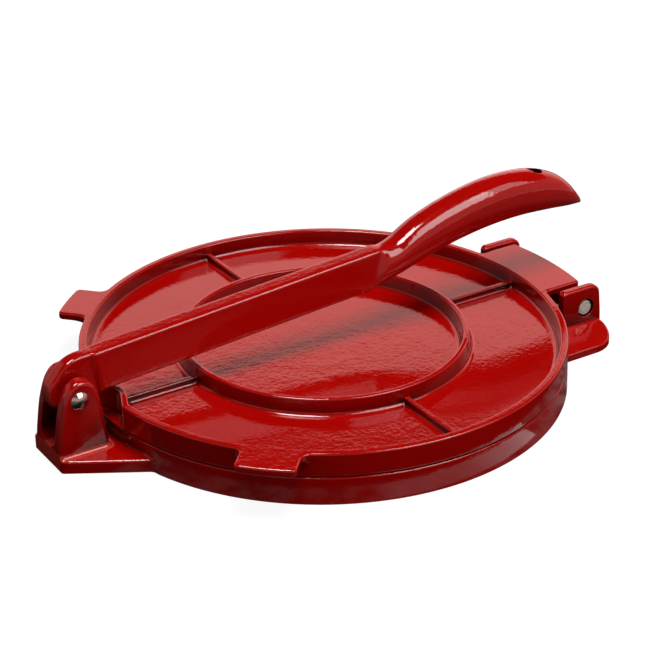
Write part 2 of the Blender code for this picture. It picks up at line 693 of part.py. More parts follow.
def lever(home, helpers, material):
    """Lever casting: root in the clevis, drafted arm and swelling handle with a hang hole."""
    slope = math.tan(ARM_RISE)
    top_bend = HANDLE_START_Y + ARM_TOP_BEND
    low_bend = HANDLE_START_Y + ARM_LOW_BEND
    end = HANDLE_START_Y + ARM_TUCK
    outline = [
        (ROOT_FRONT_Y, ROOT_LOW_Z, LEVER_EDGE),
        (ROOT_FRONT_Y, ROOT_TURN_Z, ROOT_FRONT_R),
        (PIVOT_Y - PIVOT_R, ARM_TOP_Z - PIVOT_R, ROOT_TURN_R),
        (ARM_START_Y, ARM_TOP_Z, ROOT_TURN_R),
        (top_bend, ARM_TOP_Z + (top_bend - ARM_START_Y) * slope, 0),
        (end, ARM_TOP_Z + (end - ARM_START_Y) * slope, 0),
        (end, ARM_LOW_Z + (end - ARM_START_Y) * slope + ARM_LOW_TUCK, 0),
        (low_bend, ARM_LOW_Z + (low_bend - ARM_START_Y) * slope, 0),
        (HEEL_Y, ARM_LOW_Z, HEEL_R),
        (HEEL_Y - ROOT_TURN_R, ROOT_LOW_Z - HEEL_DROP, HEEL_R),
    ]
    corners = rounded(outline, steps=LEVER_STEPS)
    made = side_slab("lever", corners, -LEVER_BOTTOM_HALF, LEVER_BOTTOM_HALF, home)
    tall = ARM_TOP_Z - ARM_LOW_Z
    for vertex in made.data.vertices:
        along = vertex.co.y - DISC_Y - ARM_START_Y
        share = (vertex.co.z - ARM_LOW_Z - along * slope) / tall
        half = LEVER_BOTTOM_HALF + (LEVER_TOP_HALF - LEVER_BOTTOM_HALF) * share
        vertex.co.x *= half / LEVER_BOTTOM_HALF
    made = bevel(made, LEVER_EDGE, angle=LEVER_SHARP)
    combine(made, handle(helpers), "UNION")
    reach = LEVER_BOTTOM_HALF + OVERRUN
    combine(made, rod("lever_bore", PIVOT_R + BORE_GAP, -reach, reach, helpers,
                      DISC_Y + PIVOT_Y, PIVOT_Z), "DIFFERENCE")
    combine(made, rod("hang_hole", HANG_HOLE_R, HANDLE_LOW_Z, HANDLE_HIGH_Z + OVERRUN, helpers,
                      DISC_Y + HANG_HOLE_Y, 0, "Z"), "DIFFERENCE")
    set_origin(made, (0, DISC_Y + PIVOT_Y, PIVOT_Z))
    finish(made, material)
    return made


def smooth_row(rows, place_share):
    """Read a table of shares at one place with a smooth cubic through its rows."""
    index = max(i for i, row in enumerate(rows[:-1]) if row[0] <= place_share)
    a, b = rows[index], rows[index + 1]
    before = rows[max(0, index - 1)]
    after = rows[min(len(rows) - 1, index + 2)]
    span = b[0] - a[0]
    t = (place_share - a[0]) / span
    values = []
    for column in range(1, len(a)):
        lean_a = (b[column] - before[column]) / (b[0] - before[0]) * span
        lean_b = (after[column] - a[column]) / (after[0] - a[0]) * span
        values.append((2 * t ** 3 - 3 * t ** 2 + 1) * a[column] + (t ** 3 - 2 * t ** 2 + t) * lean_a
                      + (3 * t ** 2 - 2 * t ** 3) * b[column] + (t ** 3 - t ** 2) * lean_b)
    return values


def handle(helpers):
    """Swelling handle, lofted through superellipse sections that follow the share table."""
    body = bmesh.new()
    rings = []
    rise = HANDLE_HIGH_Z - HANDLE_LOW_Z
    for index in range(HANDLE_SECTIONS + 1):
        share = (1 - math.cos(math.pi * index / HANDLE_SECTIONS)) / 2
        half, crest, belly = smooth_row(HANDLE_SHARES, share)
        high, low = HANDLE_LOW_Z + crest * rise, HANDLE_LOW_Z + belly * rise
        middle = low + (high - low) * HANDLE_BELLY_SHARE
        ring = []
        for step in range(HANDLE_SIDES):
            turn = 2 * math.pi * step / HANDLE_SIDES
            x = math.copysign(abs(math.cos(turn)) ** (2 / SECTION_POWER), math.cos(turn))
            z = math.copysign(abs(math.sin(turn)) ** (2 / SECTION_POWER), math.sin(turn))
            tall = high - middle if z > 0 else middle - low
            ring.append(body.verts.new((x * half * HANDLE_HALF,
                                        DISC_Y + HANDLE_START_Y + share * HANDLE_LENGTH,
                                        middle + z * tall)))
        rings.append(ring)
    for near, far in zip(rings, rings[1:]):
        for step in range(HANDLE_SIDES):
            after = (step + 1) % HANDLE_SIDES
            body.faces.new((near[step], near[after], far[after], far[step]))
    body.faces.new(rings[0])
    body.faces.new(rings[-1])
    bmesh.ops.recalc_face_normals(body, faces=body.faces)
    mesh = bpy.data.meshes.new("handle_form")
    body.to_mesh(mesh)
    body.free()
    return place(mesh, "handle_form", helpers)


def pivot_post(home, helpers, material):
    """Domed post through the clevis and the lever, bored at its far end for the screw."""
    face = CLEVIS_HALF - CLEVIS_DRAFT * (PIVOT_Z - FOOT_H) / (CLEVIS_TOP - FOOT_H) + SEAT_GAP
    end = -face + SEAT_GAP * 2
    bottom = end + POST_SCREW_LENGTH
    ball = (DOME_R ** 2 + (DOME_H - DOME_LIP) ** 2) / (2 * (DOME_H - DOME_LIP))
    centre = face + DOME_H - ball
    reach = math.asin(DOME_R / ball)
    turns = [reach * step / DOME_STEPS for step in range(DOME_STEPS + 1)]
    dome = [(ball * math.sin(turn), centre + ball * math.cos(turn)) for turn in turns]
    profile = dome + [(DOME_R, face), (PIVOT_R, face), (PIVOT_R, end),
                      (POST_SCREW_R + BORE_GAP, end), (POST_SCREW_R + BORE_GAP, bottom), (0, bottom)]
    post = turned("pivot_post", profile, BORE_SIDES, home, axis="X")
    post.data.transform(Matrix.Translation((0, DISC_Y + PIVOT_Y, PIVOT_Z)))
    finish(post, material)
    return post


def slotted_head(radius, height, shank, tip, face):
    """Profile of a slotted screw along X: head above its face, plain shank to its tip."""
    return rounded([
        (0, face + height, 0), (radius, face + height, SCREW_HEAD_EDGE), (radius, face, 0),
        (shank, face, 0), (shank, tip, 0), (0, tip, 0),
    ], closed=False, steps=PROFILE_STEPS)


def slotted_screw(name, profile, top, radius, place_yz, mirror, home, helpers, material):
    """Turn one screw about X, cut its slot, and put it at a place in Y and Z."""
    screw = turned(name, profile, BORE_SIDES, home, axis="X")
    slot = block(f"{name}_slot", (top - SCREW_SLOT_DEPTH, -radius - OVERRUN, -SCREW_SLOT / 2),
                 (top + OVERRUN, radius + OVERRUN, SCREW_SLOT / 2), helpers)
    slot.data.transform(Matrix.Rotation(SCREW_SLOT_TURN, 4, "X"))
    shift = Matrix.Translation((0, DISC_Y + place_yz[0], place_yz[1]))
    turn = Matrix.Rotation(math.pi if mirror else 0, 4, "Z")
    for thing in (screw, slot):
        thing.data.transform(shift @ turn)
    combine(screw, slot, "DIFFERENCE")
    finish(screw, material)
    return screw


def pivot_screw(home, helpers, material):
    """Screw that closes the pivot post from the far side of the clevis."""
    face = CLEVIS_HALF - CLEVIS_DRAFT * (PIVOT_Z - FOOT_H) / (CLEVIS_TOP - FOOT_H) + SEAT_GAP
    tip = face - POST_SCREW_LENGTH + TIP_GAP
    profile = slotted_head(POST_SCREW_HEAD_R, POST_SCREW_HEAD_H, POST_SCREW_R, tip, face)
    return slotted_screw("pivot_screw", profile, face + POST_SCREW_HEAD_H, POST_SCREW_HEAD_R,
                         (PIVOT_Y, PIVOT_Z), True, home, helpers, material)


def hinge_screw(name, mirror, home, helpers, material):
    """Cheese-head screw that passes a hinge lug and is held by the knuckle."""
    face = LUG_INNER + LUG_T - SINK_DEPTH + SEAT_GAP
    tip = LUG_INNER - SCREW_LENGTH + SEAT_GAP * 2
    profile = slotted_head(SCREW_HEAD_R, SCREW_HEAD_H, SCREW_R, tip, face)
    made = slotted_screw(name, profile, face + SCREW_HEAD_H, SCREW_HEAD_R,
                         (HINGE_Y, HINGE_Z), mirror, home, helpers, material)
    set_origin(made, (0, DISC_Y + HINGE_Y, HINGE_Z))
    return made


def build():
    """Make every piece of the press."""
    clear_scene()
    parts = collection("tortilla_press")
    helpers = collection("cutters")
    base_casting(parts, helpers, finish_material("base_red_enamel", RED, 0.22, 0.0))
    upper_plate(parts, helpers, finish_material("plate_red_enamel", RED, 0.22, 0.0))
    lever(parts, helpers, finish_material("lever_red_enamel", RED, 0.22, 0.0))
    pivot_post(parts, helpers, finish_material("post_chrome", CHROME, 0.12, 1.0))
    pivot_screw(parts, helpers, finish_material("pivot_screw_steel", CHROME, 0.2, 1.0))
    hinge_screw("hinge_screw_right", False, parts, helpers,
                finish_material("hinge_screw_steel", CHROME, 0.2, 1.0))
    hinge_screw("hinge_screw_left", True, parts, helpers,
                finish_material("hinge_screw_left_steel", CHROME, 0.2, 1.0))


build()
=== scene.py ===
"""Looks of a cast aluminium tortilla press in glossy red enamel.

Sizes inside the classes are in millimetres from the plates' own axis, with the clevis at -Y, the
hinge at +Y and the table at Z 0. They turn to metres in the part's frame when a mesh is made.
"""

import logging
import math
from collections.abc import Sequence
from dataclasses import dataclass
from enum import Enum

import bpy
from mathutils import Matrix, Vector

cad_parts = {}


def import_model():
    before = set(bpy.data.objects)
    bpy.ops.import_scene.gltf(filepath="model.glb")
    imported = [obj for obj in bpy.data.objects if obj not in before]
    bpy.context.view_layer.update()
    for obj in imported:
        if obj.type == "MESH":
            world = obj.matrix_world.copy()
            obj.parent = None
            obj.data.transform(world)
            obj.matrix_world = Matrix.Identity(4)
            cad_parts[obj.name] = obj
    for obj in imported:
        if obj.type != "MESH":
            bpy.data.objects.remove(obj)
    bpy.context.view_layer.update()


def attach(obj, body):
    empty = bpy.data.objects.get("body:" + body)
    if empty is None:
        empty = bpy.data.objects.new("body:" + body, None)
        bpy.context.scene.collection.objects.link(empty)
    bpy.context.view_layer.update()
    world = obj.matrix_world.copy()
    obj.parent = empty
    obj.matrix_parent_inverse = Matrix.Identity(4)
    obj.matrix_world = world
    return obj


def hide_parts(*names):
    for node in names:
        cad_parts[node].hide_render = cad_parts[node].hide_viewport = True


MM = 0.001
# Place of the plates' axis in the part's frame, and the hinge's and the pivot's places as (y, z)
AXIS_Y = -4.75
HINGE = (148.1, 15.8)
PIVOT = (-150.0, 36.6)
LOG = logging.getLogger("tortilla_press")

Pair = tuple[float, float]
Triple = tuple[float, float, float]
Thing = bpy.types.Object
Paint = bpy.types.Material
Tree = bpy.types.NodeTree
Socket = bpy.types.NodeSocket


def lerp(a: float, b: float, share: float) -> float:
    """Value at a share of the way from a to b."""
    return a + (b - a) * share


def smooth(share: float) -> float:
    """Ease a share in and out, held between 0 and 1."""
    share = max(0.0, min(1.0, share))
    return share * share * (3 - 2 * share)


def mix_point(a: Sequence[float], b: Sequence[float], share: float) -> tuple[float, ...]:
    """Point at a share of the way from a to b."""
    return tuple(lerp(p, q, share) for p, q in zip(a, b))


def quarter(steps: int) -> list[Pair]:
    """Steps round a quarter circle, each as 1 less its cosine and 1 less its sine."""
    turns = [math.radians(90 * step / steps) for step in range(steps + 1)]
    return [(1 - math.cos(turn), 1 - math.sin(turn)) for turn in turns]


def on_arc(radius: float, across: float) -> float:
    """How far out a circle lies at a place across it."""
    return math.sqrt(radius ** 2 - across ** 2)


def fillet_path(corners: Sequence[Triple], steps: int = 6, closed: bool = False) -> list[Pair]:
    """Round the corners of a path.

    Args:
        corners: places with the radius of each corner, 0 for a sharp one.
        steps: how many chords make an arc.
        closed: whether the last corner joins the first.

    Returns:
        The path's points, arcs included.
    """
    points: list[Pair] = []
    count = len(corners)
    for index, (x, y, radius) in enumerate(corners):
        if radius <= 0 or (not closed and index in (0, count - 1)):
            points.append((x, y))
            continue
        here = Vector((x, y))
        back = Vector(corners[index - 1][:2]) - here
        ahead = Vector(corners[(index + 1) % count][:2]) - here
        half = back.angle(ahead) / 2
        reach = min(radius / math.tan(half), back.length * 0.49, ahead.length * 0.49)
        radius = reach * math.tan(half)
        back.normalize()
        ahead.normalize()
        middle = here + (back + ahead).normalized() * (radius / math.sin(half))
        start = here + back * reach - middle
        end = here + ahead * reach - middle
        sweep = start.angle_signed(end)
        for step in range(steps + 1):
            turn = -sweep * step / steps
            spoke = Matrix.Rotation(turn, 2) @ start
            points.append((middle.x + spoke.x, middle.y + spoke.y))
    return points


def smooth_path(points: Sequence[Pair], steps: int = 4) -> list[Pair]:
    """Smooth curve through the points of an open path."""
    made: list[Pair] = []
    for index in range(len(points) - 1):
        before, a = points[max(0, index - 1)], points[index]
        b, after = points[index + 1], points[min(len(points) - 1, index + 2)]
        for step in range(steps):
            t = step / steps
            made.append(tuple(0.5 * (2 * q + (r - p) * t + (2 * p - 5 * q + 4 * r - s) * t ** 2
                                     + (3 * q - p - 3 * r + s) * t ** 3)
                              for p, q, r, s in zip(before, a, b, after)))
    return made + [tuple(points[-1])]


def inset_path(points: Sequence[Pair], amount: float) -> list[Pair]:
    """Move a closed outline inwards by an amount, along its own normals."""
    count = len(points)
    area = sum(a[0] * b[1] - b[0] * a[1] for a, b in zip(points, list(points[1:]) + [points[0]]))
    side = math.copysign(1.0, area)
    made = []
    for index, here in enumerate(points):
        lean = Vector((0.0, 0.0))
        for a, b in ((points[index - 1], here), (here, points[(index + 1) % count])):
            run = Vector((b[0] - a[0], b[1] - a[1])).normalized()
            lean += Vector((-run.y, run.x)) * side
        lean.normalize()
        first = Vector((here[0] - points[index - 1][0], here[1] - points[index - 1][1])).normalized()
        share = max(abs(Vector((-first.y, first.x)).dot(lean)), 0.5)
        made.append((here[0] + lean.x * amount / share, here[1] + lean.y * amount / share))
    return made


def along_path(path: Sequence[Pair], share: float) -> Pair:
    """Point at a share of a path's length."""
    runs = [math.dist(a, b) for a, b in zip(path, path[1:])]
    left = share * sum(runs)
    for run, a, b in zip(runs, path, path[1:]):
        if left <= run and run > 0:
            return mix_point(a, b, left / run)
        left -= run
    return path[-1]


def read_row(rows: Sequence[Sequence[float]], place: float) -> list[float]:
    """Read a table at a place with a smooth cubic through its rows.

    Args:
        rows: rows that start with their place and go up by it.
        place: where to read.

    Returns:
        The other columns' values there.
    """
    if place <= rows[0][0]:
        return list(rows[0][1:])
    if place >= rows[-1][0]:
        return list(rows[-1][1:])
    index = max(i for i, row in enumerate(rows[:-1]) if row[0] <= place)
    a, b = rows[index], rows[index + 1]
    before, after = rows[max(0, index - 1)], rows[min(len(rows) - 1, index + 2)]
    span = b[0] - a[0]
    t = (place - a[0]) / span
    values = []
    for column in range(1, len(a)):
        lean_a = (b[column] - before[column]) / (b[0] - before[0]) * span
        lean_b = (after[column] - a[column]) / (after[0] - a[0]) * span
        values.append((2 * t ** 3 - 3 * t ** 2 + 1) * a[column] + (t ** 3 - 2 * t ** 2 + t) * lean_a
                      + (3 * t ** 2 - 2 * t ** 3) * b[column] + (t ** 3 - t ** 2) * lean_b)
    return values


def to_part(point: Sequence[float]) -> Vector:
    """Millimetres from the plates' axis to metres in the part's frame."""
    return Vector((point[0] * MM, (point[1] + AXIS_Y) * MM, point[2] * MM))


def edit_all() -> None:
    """Go into edit mode with all of the active piece selected."""
    bpy.ops.object.mode_set(mode="EDIT")
    bpy.ops.mesh.select_all(action="SELECT")


def start_piece(name: str) -> Thing:
    """Name the primitive that was just added and go into edit mode with all of it selected."""
    made = bpy.context.object
    made.name = name
    made.data.name = name
    edit_all()
    return made


def loft(name: str, rings: Sequence[Sequence[Triple]]) -> Thing:
    """Extrude a filled circle ring by ring, then set each ring's points in their places.

    Args:
        name: the piece's name.
        rings: closed rings with the same number of points, in millimetres.

    Returns:
        The closed piece, with a face over its first and last ring.
    """
    count = len(rings[0])
    bpy.ops.object.select_all(action="DESELECT")
    bpy.ops.mesh.primitive_circle_add(vertices=count, radius=MM, fill_type="NGON")
    made = start_piece(name)
    for _ in rings[1:]:
        bpy.ops.mesh.extrude_region_move()
    bpy.ops.object.mode_set(mode="OBJECT")
    points = [tuple(to_part(point)) for ring in rings for point in ring]
    made.data.vertices.foreach_set("co", [value for point in points for value in point])
    made.data.update()
    face_out(made)
    return made


def face_out(thing: Thing) -> None:
    """Turn every face of a closed piece outwards."""
    pick(thing)
    edit_all()
    bpy.ops.mesh.normals_make_consistent(inside=False)
    bpy.ops.object.mode_set(mode="OBJECT")


def pick(thing: Thing) -> None:
    """Select one object alone and make it the active one."""
    bpy.ops.object.select_all(action="DESELECT")
    thing.select_set(True)
    bpy.context.view_layer.objects.active = thing


def apply_modifier(thing: Thing, kind: str, **settings: object) -> None:
    """Add a modifier with its settings and apply it."""
    pick(thing)
    made = thing.modifiers.new(kind.lower(), kind)
    for key, value in settings.items():
        setattr(made, key, value)
    bpy.ops.object.modifier_apply(modifier=made.name)


def cut(thing: Thing, tool: Thing, operation: str = "DIFFERENCE") -> None:
    """Cut a tool out of a piece or join it on, and delete the tool."""
    apply_modifier(thing, "BOOLEAN", object=tool, operation=operation, solver="EXACT")
    bpy.data.objects.remove(tool, do_unlink=True)


def bevel(thing: Thing, width: float, angle: float) -> None:
    """Round a piece's edges that are sharper than an angle, by a width in millimetres."""
    apply_modifier(thing, "BEVEL", width=width * MM, segments=3, limit_method="ANGLE",
                   angle_limit=math.radians(angle), harden_normals=False)


def smooth_shade(thing: Thing, angle: float = 50.0) -> None:
    """Shade a piece smooth, with its large faces kept flat and its sharp edges kept sharp."""
    pick(thing)
    bpy.ops.object.shade_smooth_by_angle(angle=math.radians(angle))
    apply_modifier(thing, "WEIGHTED_NORMAL", mode="FACE_AREA", weight=60, keep_sharp=True)


def join(name: str, pieces: Sequence[Thing]) -> Thing:
    """Join finished shells of one casting into one piece."""
    bpy.ops.object.select_all(action="DESELECT")
    for piece in pieces:
        piece.select_set(True)
    bpy.context.view_layer.objects.active = pieces[0]
    bpy.ops.object.join()
    pieces[0].name = name
    pieces[0].data.name = name
    return pieces[0]


class Side(Enum):
    """Which side of the press a paired piece is on."""

    RIGHT = 1
    LEFT = -1


def srgb(code: str) -> tuple[float, float, float, float]:
    """Turn an sRGB hex code into a linear colour."""
    values = [int(code[i:i + 2], 16) / 255 for i in (0, 2, 4)]
    linear = [v / 12.92 if v <= 0.04045 else ((v + 0.055) / 1.055) ** 2.4 for v in values]
    return linear[0], linear[1], linear[2], 1.0


def node(tree: Tree, kind: str, settings: dict | None = None, links: dict | None = None) -> bpy.types.Node:
    """Add a node with its settings and links.

    Args:
        tree: the node tree.
        kind: the node's type name after ShaderNode.
        settings: attribute names, or input names or numbers, with their values.
        links: input names or numbers, with the output socket that feeds each.

    Returns:
        The node.
    """
    made = tree.nodes.new("ShaderNode" + kind)
    for key, value in (settings or {}).items():
        if isinstance(key, str) and hasattr(made, key):
            setattr(made, key, value)
        else:
            made.inputs[key].default_value = value
    for key, socket in (links or {}).items():
        tree.links.new(socket, made.inputs[key])
    return made


def fade(tree: Tree, value: Socket, start: float, end: float,
         first: float = 0.0, last: float = 1.0, easing: str = "SMOOTHSTEP") -> Socket:
    """Go from a first to a last strength while a value runs from start to end."""
    settings = {"interpolation_type": easing, "From Min": start, "From Max": end,
                "To Min": first, "To Max": last}
    return node(tree, "MapRange", settings, {"Value": value}).outputs["Result"]


def combine(tree: Tree, operation: str, *values: Socket) -> Socket:
    """Multiply or add values, or take the largest."""
    result = values[0]
    for value in values[1:]:
        step = node(tree, "Math", {"operation": operation}, {0: result, 1: value})
        result = step.outputs["Value"]
    return result


def vector(tree: Tree, operation: str, value: Socket, other: Triple | None = None) -> Socket:
    """Work on a vector: its length, its direction, or with another vector."""
    settings = {"operation": operation} if other is None else {"operation": operation, 1: other}
    made = node(tree, "VectorMath", settings, {0: value})
    return made.outputs["Value" if operation in ("LENGTH", "DOT_PRODUCT") else "Vector"]


def noise(tree: Tree, place: Socket, size_mm: float, detail: float, roughness: float = 0.5) -> Socket:
    """Cloudy noise with patches of a size in millimetres."""
    settings = {"Scale": 1 / (size_mm * MM), "Detail": detail, "Roughness": roughness}
    return node(tree, "TexNoise", settings, {"Vector": place}).outputs["Fac"]


def openness(tree: Tree, reach_mm: float, **settings: bool) -> Socket:
    """How open a place is, within a reach in millimetres."""
    settings = {"samples": 8, "Distance": reach_mm * MM, **settings}
    return node(tree, "AmbientOcclusion", settings).outputs["AO"]


def blend(tree: Tree, share: Socket, first: str | Socket, second: str | Socket) -> Socket:
    """Mix two colours by a share, each of them a hex code or a socket."""
    made = node(tree, "Mix", {"data_type": "RGBA"}, {0: share})
    for key, colour in ((6, first), (7, second)):
        if isinstance(colour, str):
            made.inputs[key].default_value = srgb(colour)
        else:
            tree.links.new(colour, made.inputs[key])
    return made.outputs[2]


def bump(tree: Tree, height: Socket, depth_mm: float, **under: Socket) -> Socket:
    """Relief of a depth in millimetres, over another relief given as Normal or over none."""
    settings = {"Strength": 1.0, "Distance": depth_mm * MM}
    return node(tree, "Bump", settings, {"Height": height, **under}).outputs["Normal"]


def new_paint(name: str, **settings: object) -> tuple[Paint, Tree]:
    """Start a material, with values for its shader's inputs whose names have _ for a space."""
    made = bpy.data.materials.new(name)
    made.use_nodes = True
    shader = made.node_tree.nodes["Principled BSDF"]
    for key, value in settings.items():
        shader.inputs[key.replace("_", " ")].default_value = value
    return made, made.node_tree


def feed(tree: Tree, **sockets: Socket) -> None:
    """Link sockets to the shader's inputs, whose names have _ for a space."""
    for key, socket in sockets.items():
        tree.links.new(socket, tree.nodes["Principled BSDF"].inputs[key.replace("_", " ")])


@dataclass(frozen=True)
class EnamelFinish:
    """Glossy red powder enamel baked on cast aluminium: saturated red under clear sharp gloss."""

    name: str
    deep: str = "A40301"
    bright: str = "B20803"
    # Dark red painted in as shade in corners and on upright walls
    painted_shade: str = "2C0000"
    # Pale red painted in as a highlight on sharp edges
    edge_highlight: str = "DC4A3C"
    roughness: float = 0.07
    drift_mm: float = 30.0
    peel_mm: float = 2.3
    peel: float = 0.085
    wave_mm: float = 12.0
    wave: float = 0.1
    # Reach of the painted corner shade, and how much painted shade the upright walls get
    shade_reach_mm: float = 25.0
    wall_shade: float = 0.4
    # Reach of the painted edge highlight
    edge_mm: float = 0.9

    def build(self) -> Paint:
        """Make the material: colour drift, painted shade in corners and on upright walls, a painted highlight
        on sharp edges, orange peel and cast waviness.
        """
        made, tree = new_paint(self.name, Roughness=self.roughness, IOR=1.5)
        place = node(tree, "TexCoord").outputs["Object"]
        # The coat lies a little thicker and deeper in patches of about 30 mm
        tone = blend(tree, noise(tree, place, self.drift_mm, 3.0), self.deep, self.bright)
        # Painted shade darkens the corners and the upright walls, and a painted highlight pales the sharp
        # edges
        skin = node(tree, "NewGeometry").outputs["Normal"]
        steep = vector(tree, "LENGTH", vector(tree, "MULTIPLY", skin, (1.0, 1.0, 0.0)))
        free = openness(tree, self.shade_reach_mm, only_local=True)
        unshaded = node(tree, "Math", {"operation": "MULTIPLY_ADD", 1: -self.wall_shade}, {0: steep, 2: free})
        share = fade(tree, unshaded.outputs["Value"], 0.1, 0.55, easing="LINEAR")
        painted_shade = blend(tree, share, self.painted_shade, tone)
        # Painted highlight: sharp edges turn pale red
        highlight_share = fade(tree, openness(tree, self.edge_mm, inside=True), 0.25, 0.8, 0.6, 0.0, "LINEAR")
        coat = blend(tree, highlight_share, painted_shade, self.edge_highlight)
        # Sand-cast skin under the coat bends long reflections, and orange peel ripples their borders
        wave = bump(tree, noise(tree, place, self.wave_mm, 1.0), self.wave)
        peel = bump(tree, noise(tree, place, self.peel_mm, 2.0), self.peel, Normal=wave)
        feed(tree, Base_Color=coat, Normal=peel)
        return made


@dataclass(frozen=True)
class ChromeFinish:
    """Bright nickel-chrome plate on turned steel: neutral mirror with faint lathe rings."""

    name: str
    tone: str = "EAEAE6"
    dull: str = "8E8C86"
    roughness: float = 0.14
    metallic: float = 1.0
    grime_mm: float = 2.5
    ring_mm: float = 0.35
    ring: float = 0.004

    def build(self, centre: Triple) -> Paint:
        """Make the material, with its lathe rings about a line along X through a centre."""
        made, tree = new_paint(self.name, Metallic=self.metallic)
        place = node(tree, "TexCoord").outputs["Object"]
        spot = node(tree, "Mapping", {"vector_type": "POINT", "Location": -to_part(centre)},
                    {"Vector": place}).outputs["Vector"]
        far = vector(tree, "LENGTH", vector(tree, "MULTIPLY", spot, (0.0, 1.0, 1.0)))
        lathe = {"noise_dimensions": "1D", "Scale": 1 / (self.ring_mm * MM), "Detail": 3.0}
        rings = node(tree, "TexNoise", lathe, {"W": far}).outputs["Fac"]
        grime = noise(tree, place, self.grime_mm, 4.0)
        feed(tree, Base_Color=blend(tree, grime, self.tone, self.dull),
             Roughness=fade(tree, grime, 0.0, 1.0, self.roughness * 0.6, self.roughness * 1.8, "LINEAR"),
             Normal=bump(tree, rings, self.ring))
        return made


@dataclass
class Studio:
    """White sweep, plain soft light and the photograph's camera."""

    azimuth: float = 57.96
    elevation: float = 27.12
    roll: float = -0.59
    lens: float = 108.57
    eye: Triple = (781.0, -489.4, 503.8)

    def camera(self) -> None:
        """Put the camera where the photograph was taken from."""
        a, e = math.radians(self.azimuth), math.radians(self.elevation)
        back = Vector((math.sin(a) * math.cos(e), -math.cos(a) * math.cos(e), math.sin(e)))
        right = Vector((math.cos(a), math.sin(a), 0.0))
        up = back.cross(right)
        g = math.radians(self.roll)
        side = right * math.cos(g) + up * math.sin(g)
        top = up * math.cos(g) - right * math.sin(g)
        turn = Matrix((side, top, back)).transposed().to_4x4()
        bpy.ops.object.camera_add()
        made = bpy.context.object
        made.name = "camera"
        made.matrix_world = Matrix.Translation(to_part(self.eye)) @ turn
        made.data.lens = self.lens
        made.data.sensor_width = 36.0
        made.data.clip_end = 20.0
        made.data.dof.use_dof = False
        bpy.context.scene.camera = made

    def seen_white(self, tree: Tree, plain: Socket, white: Socket) -> Socket:
        """Show one shader to the camera and in gloss and glass, and another to all other light.

        Args:
            tree: the node tree.
            plain: the shader that lights and shades the object.
            white: the background's shader.

        Returns:
            The mixed shader.
        """
        ray = node(tree, "LightPath")
        seen = combine(tree, "MAXIMUM", ray.outputs["Is Camera Ray"], ray.outputs["Is Glossy Ray"],
                       ray.outputs["Is Transmission Ray"])
        return node(tree, "MixShader", {}, {0: seen, 1: plain, 2: white}).outputs["Shader"]

    def floor(self) -> None:
        """Lay a pale floor that shows white to the camera, with a trace of the press's shadow."""
        bpy.ops.object.select_all(action="DESELECT")
        bpy.ops.mesh.primitive_plane_add(size=8.0)
        made = bpy.context.object
        made.name = "floor"
        paint, tree = new_paint("matt_white_board", Base_Color=srgb("DCDCDC"), Roughness=0.9,
                                Specular_IOR_Level=0.0)
        shader = tree.nodes["Principled BSDF"]
        glow = node(tree, "Emission", {"Color": (1.0, 1.0, 1.0, 1.0), "Strength": 0.93})
        trace = node(tree, "BsdfDiffuse", {"Color": (0.2, 0.2, 0.2, 1.0)})
        white = node(tree, "AddShader", {}, {0: trace.outputs["BSDF"], 1: glow.outputs["Emission"]})
        both = self.seen_white(tree, shader.outputs["BSDF"], white.outputs["Shader"])
        tree.links.new(both, tree.nodes["Material Output"].inputs["Surface"])
        made.data.materials.append(paint)

    def world(self) -> None:
        """Make the room: white where it is seen, and dim in what it lights."""
        room = bpy.data.worlds.new("studio")
        bpy.context.scene.world = room
        room.use_nodes = True
        tree = room.node_tree
        tree.nodes.clear()
        dim = node(tree, "Background", {"Color": (0.9, 0.95, 1.0, 1.0), "Strength": 0.16})
        white = node(tree, "Background", {"Color": (1.0, 1.0, 1.0, 1.0), "Strength": 1.0})
        both = self.seen_white(tree, dim.outputs["Background"], white.outputs["Background"])
        node(tree, "OutputWorld", {}, {"Surface": both})

    def drapes(self) -> None:
        """Hang drapes that only gloss sees, which keep the reflections as deep as in the photograph.

        A dark cloth lies under the press, and a dome hangs over it that is painted with a pale band
        round its foot and a brighter sweep behind.
        """
        bpy.ops.object.select_all(action="DESELECT")
        bpy.ops.mesh.primitive_circle_add(vertices=64, radius=1.6, fill_type="NGON",
                                          location=(0.0, 0.0, 0.0002))
        under = bpy.context.object
        under.name = "dark_cloth"
        bpy.ops.object.select_all(action="DESELECT")
        bpy.ops.mesh.primitive_uv_sphere_add(segments=48, ring_count=36, radius=3.6)
        over = start_piece("painted_dome")
        bpy.ops.mesh.bisect(plane_co=(0.0, 0.0, 0.0), plane_no=(0.0, 0.0, 1.0), clear_inner=True)
        bpy.ops.object.mode_set(mode="OBJECT")
        over.visible_diffuse = False
        for made, paint in ((under, self.cloth_paint()), (over, self.dome_paint())):
            made.data.materials.append(paint)
            made.visible_camera = False
            made.visible_transmission = False
            made.visible_shadow = False

    def painted(self, name: str, tint: str) -> tuple[Paint, Tree]:
        """Start a black felt whose painted glow only gloss sees."""
        return new_paint(name, Base_Color=srgb("161616"), Roughness=1.0, Specular_IOR_Level=0.0,
                         Emission_Color=srgb(tint))

    def paint(self, tree: Tree, strength: Socket) -> None:
        """Let a glow show in gloss alone."""
        ray = node(tree, "LightPath")
        feed(tree, Emission_Strength=combine(tree, "MULTIPLY", strength, ray.outputs["Is Glossy Ray"]))

    def cloth_paint(self) -> Paint:
        """Mottled dark cloth with a white card lying along the right side of the base."""
        made, tree = self.painted("dark_table_felt", "FFFFFF")
        place = node(tree, "TexCoord").outputs["Object"]
        parts = node(tree, "SeparateXYZ", {}, {0: place})
        far = vector(tree, "LENGTH", place)
        turn = node(tree, "Math", {"operation": "ARCTAN2"},
                    {0: parts.outputs["Y"], 1: parts.outputs["X"]}).outputs["Value"]
        mottle = noise(tree, place, 14.0, 3.0, 0.6)
        near = combine(tree, "MULTIPLY", fade(tree, mottle, 0.38, 0.62, 0.04, 0.18),
                       fade(tree, far, 0.147, 0.152, 1.0, 0.0))
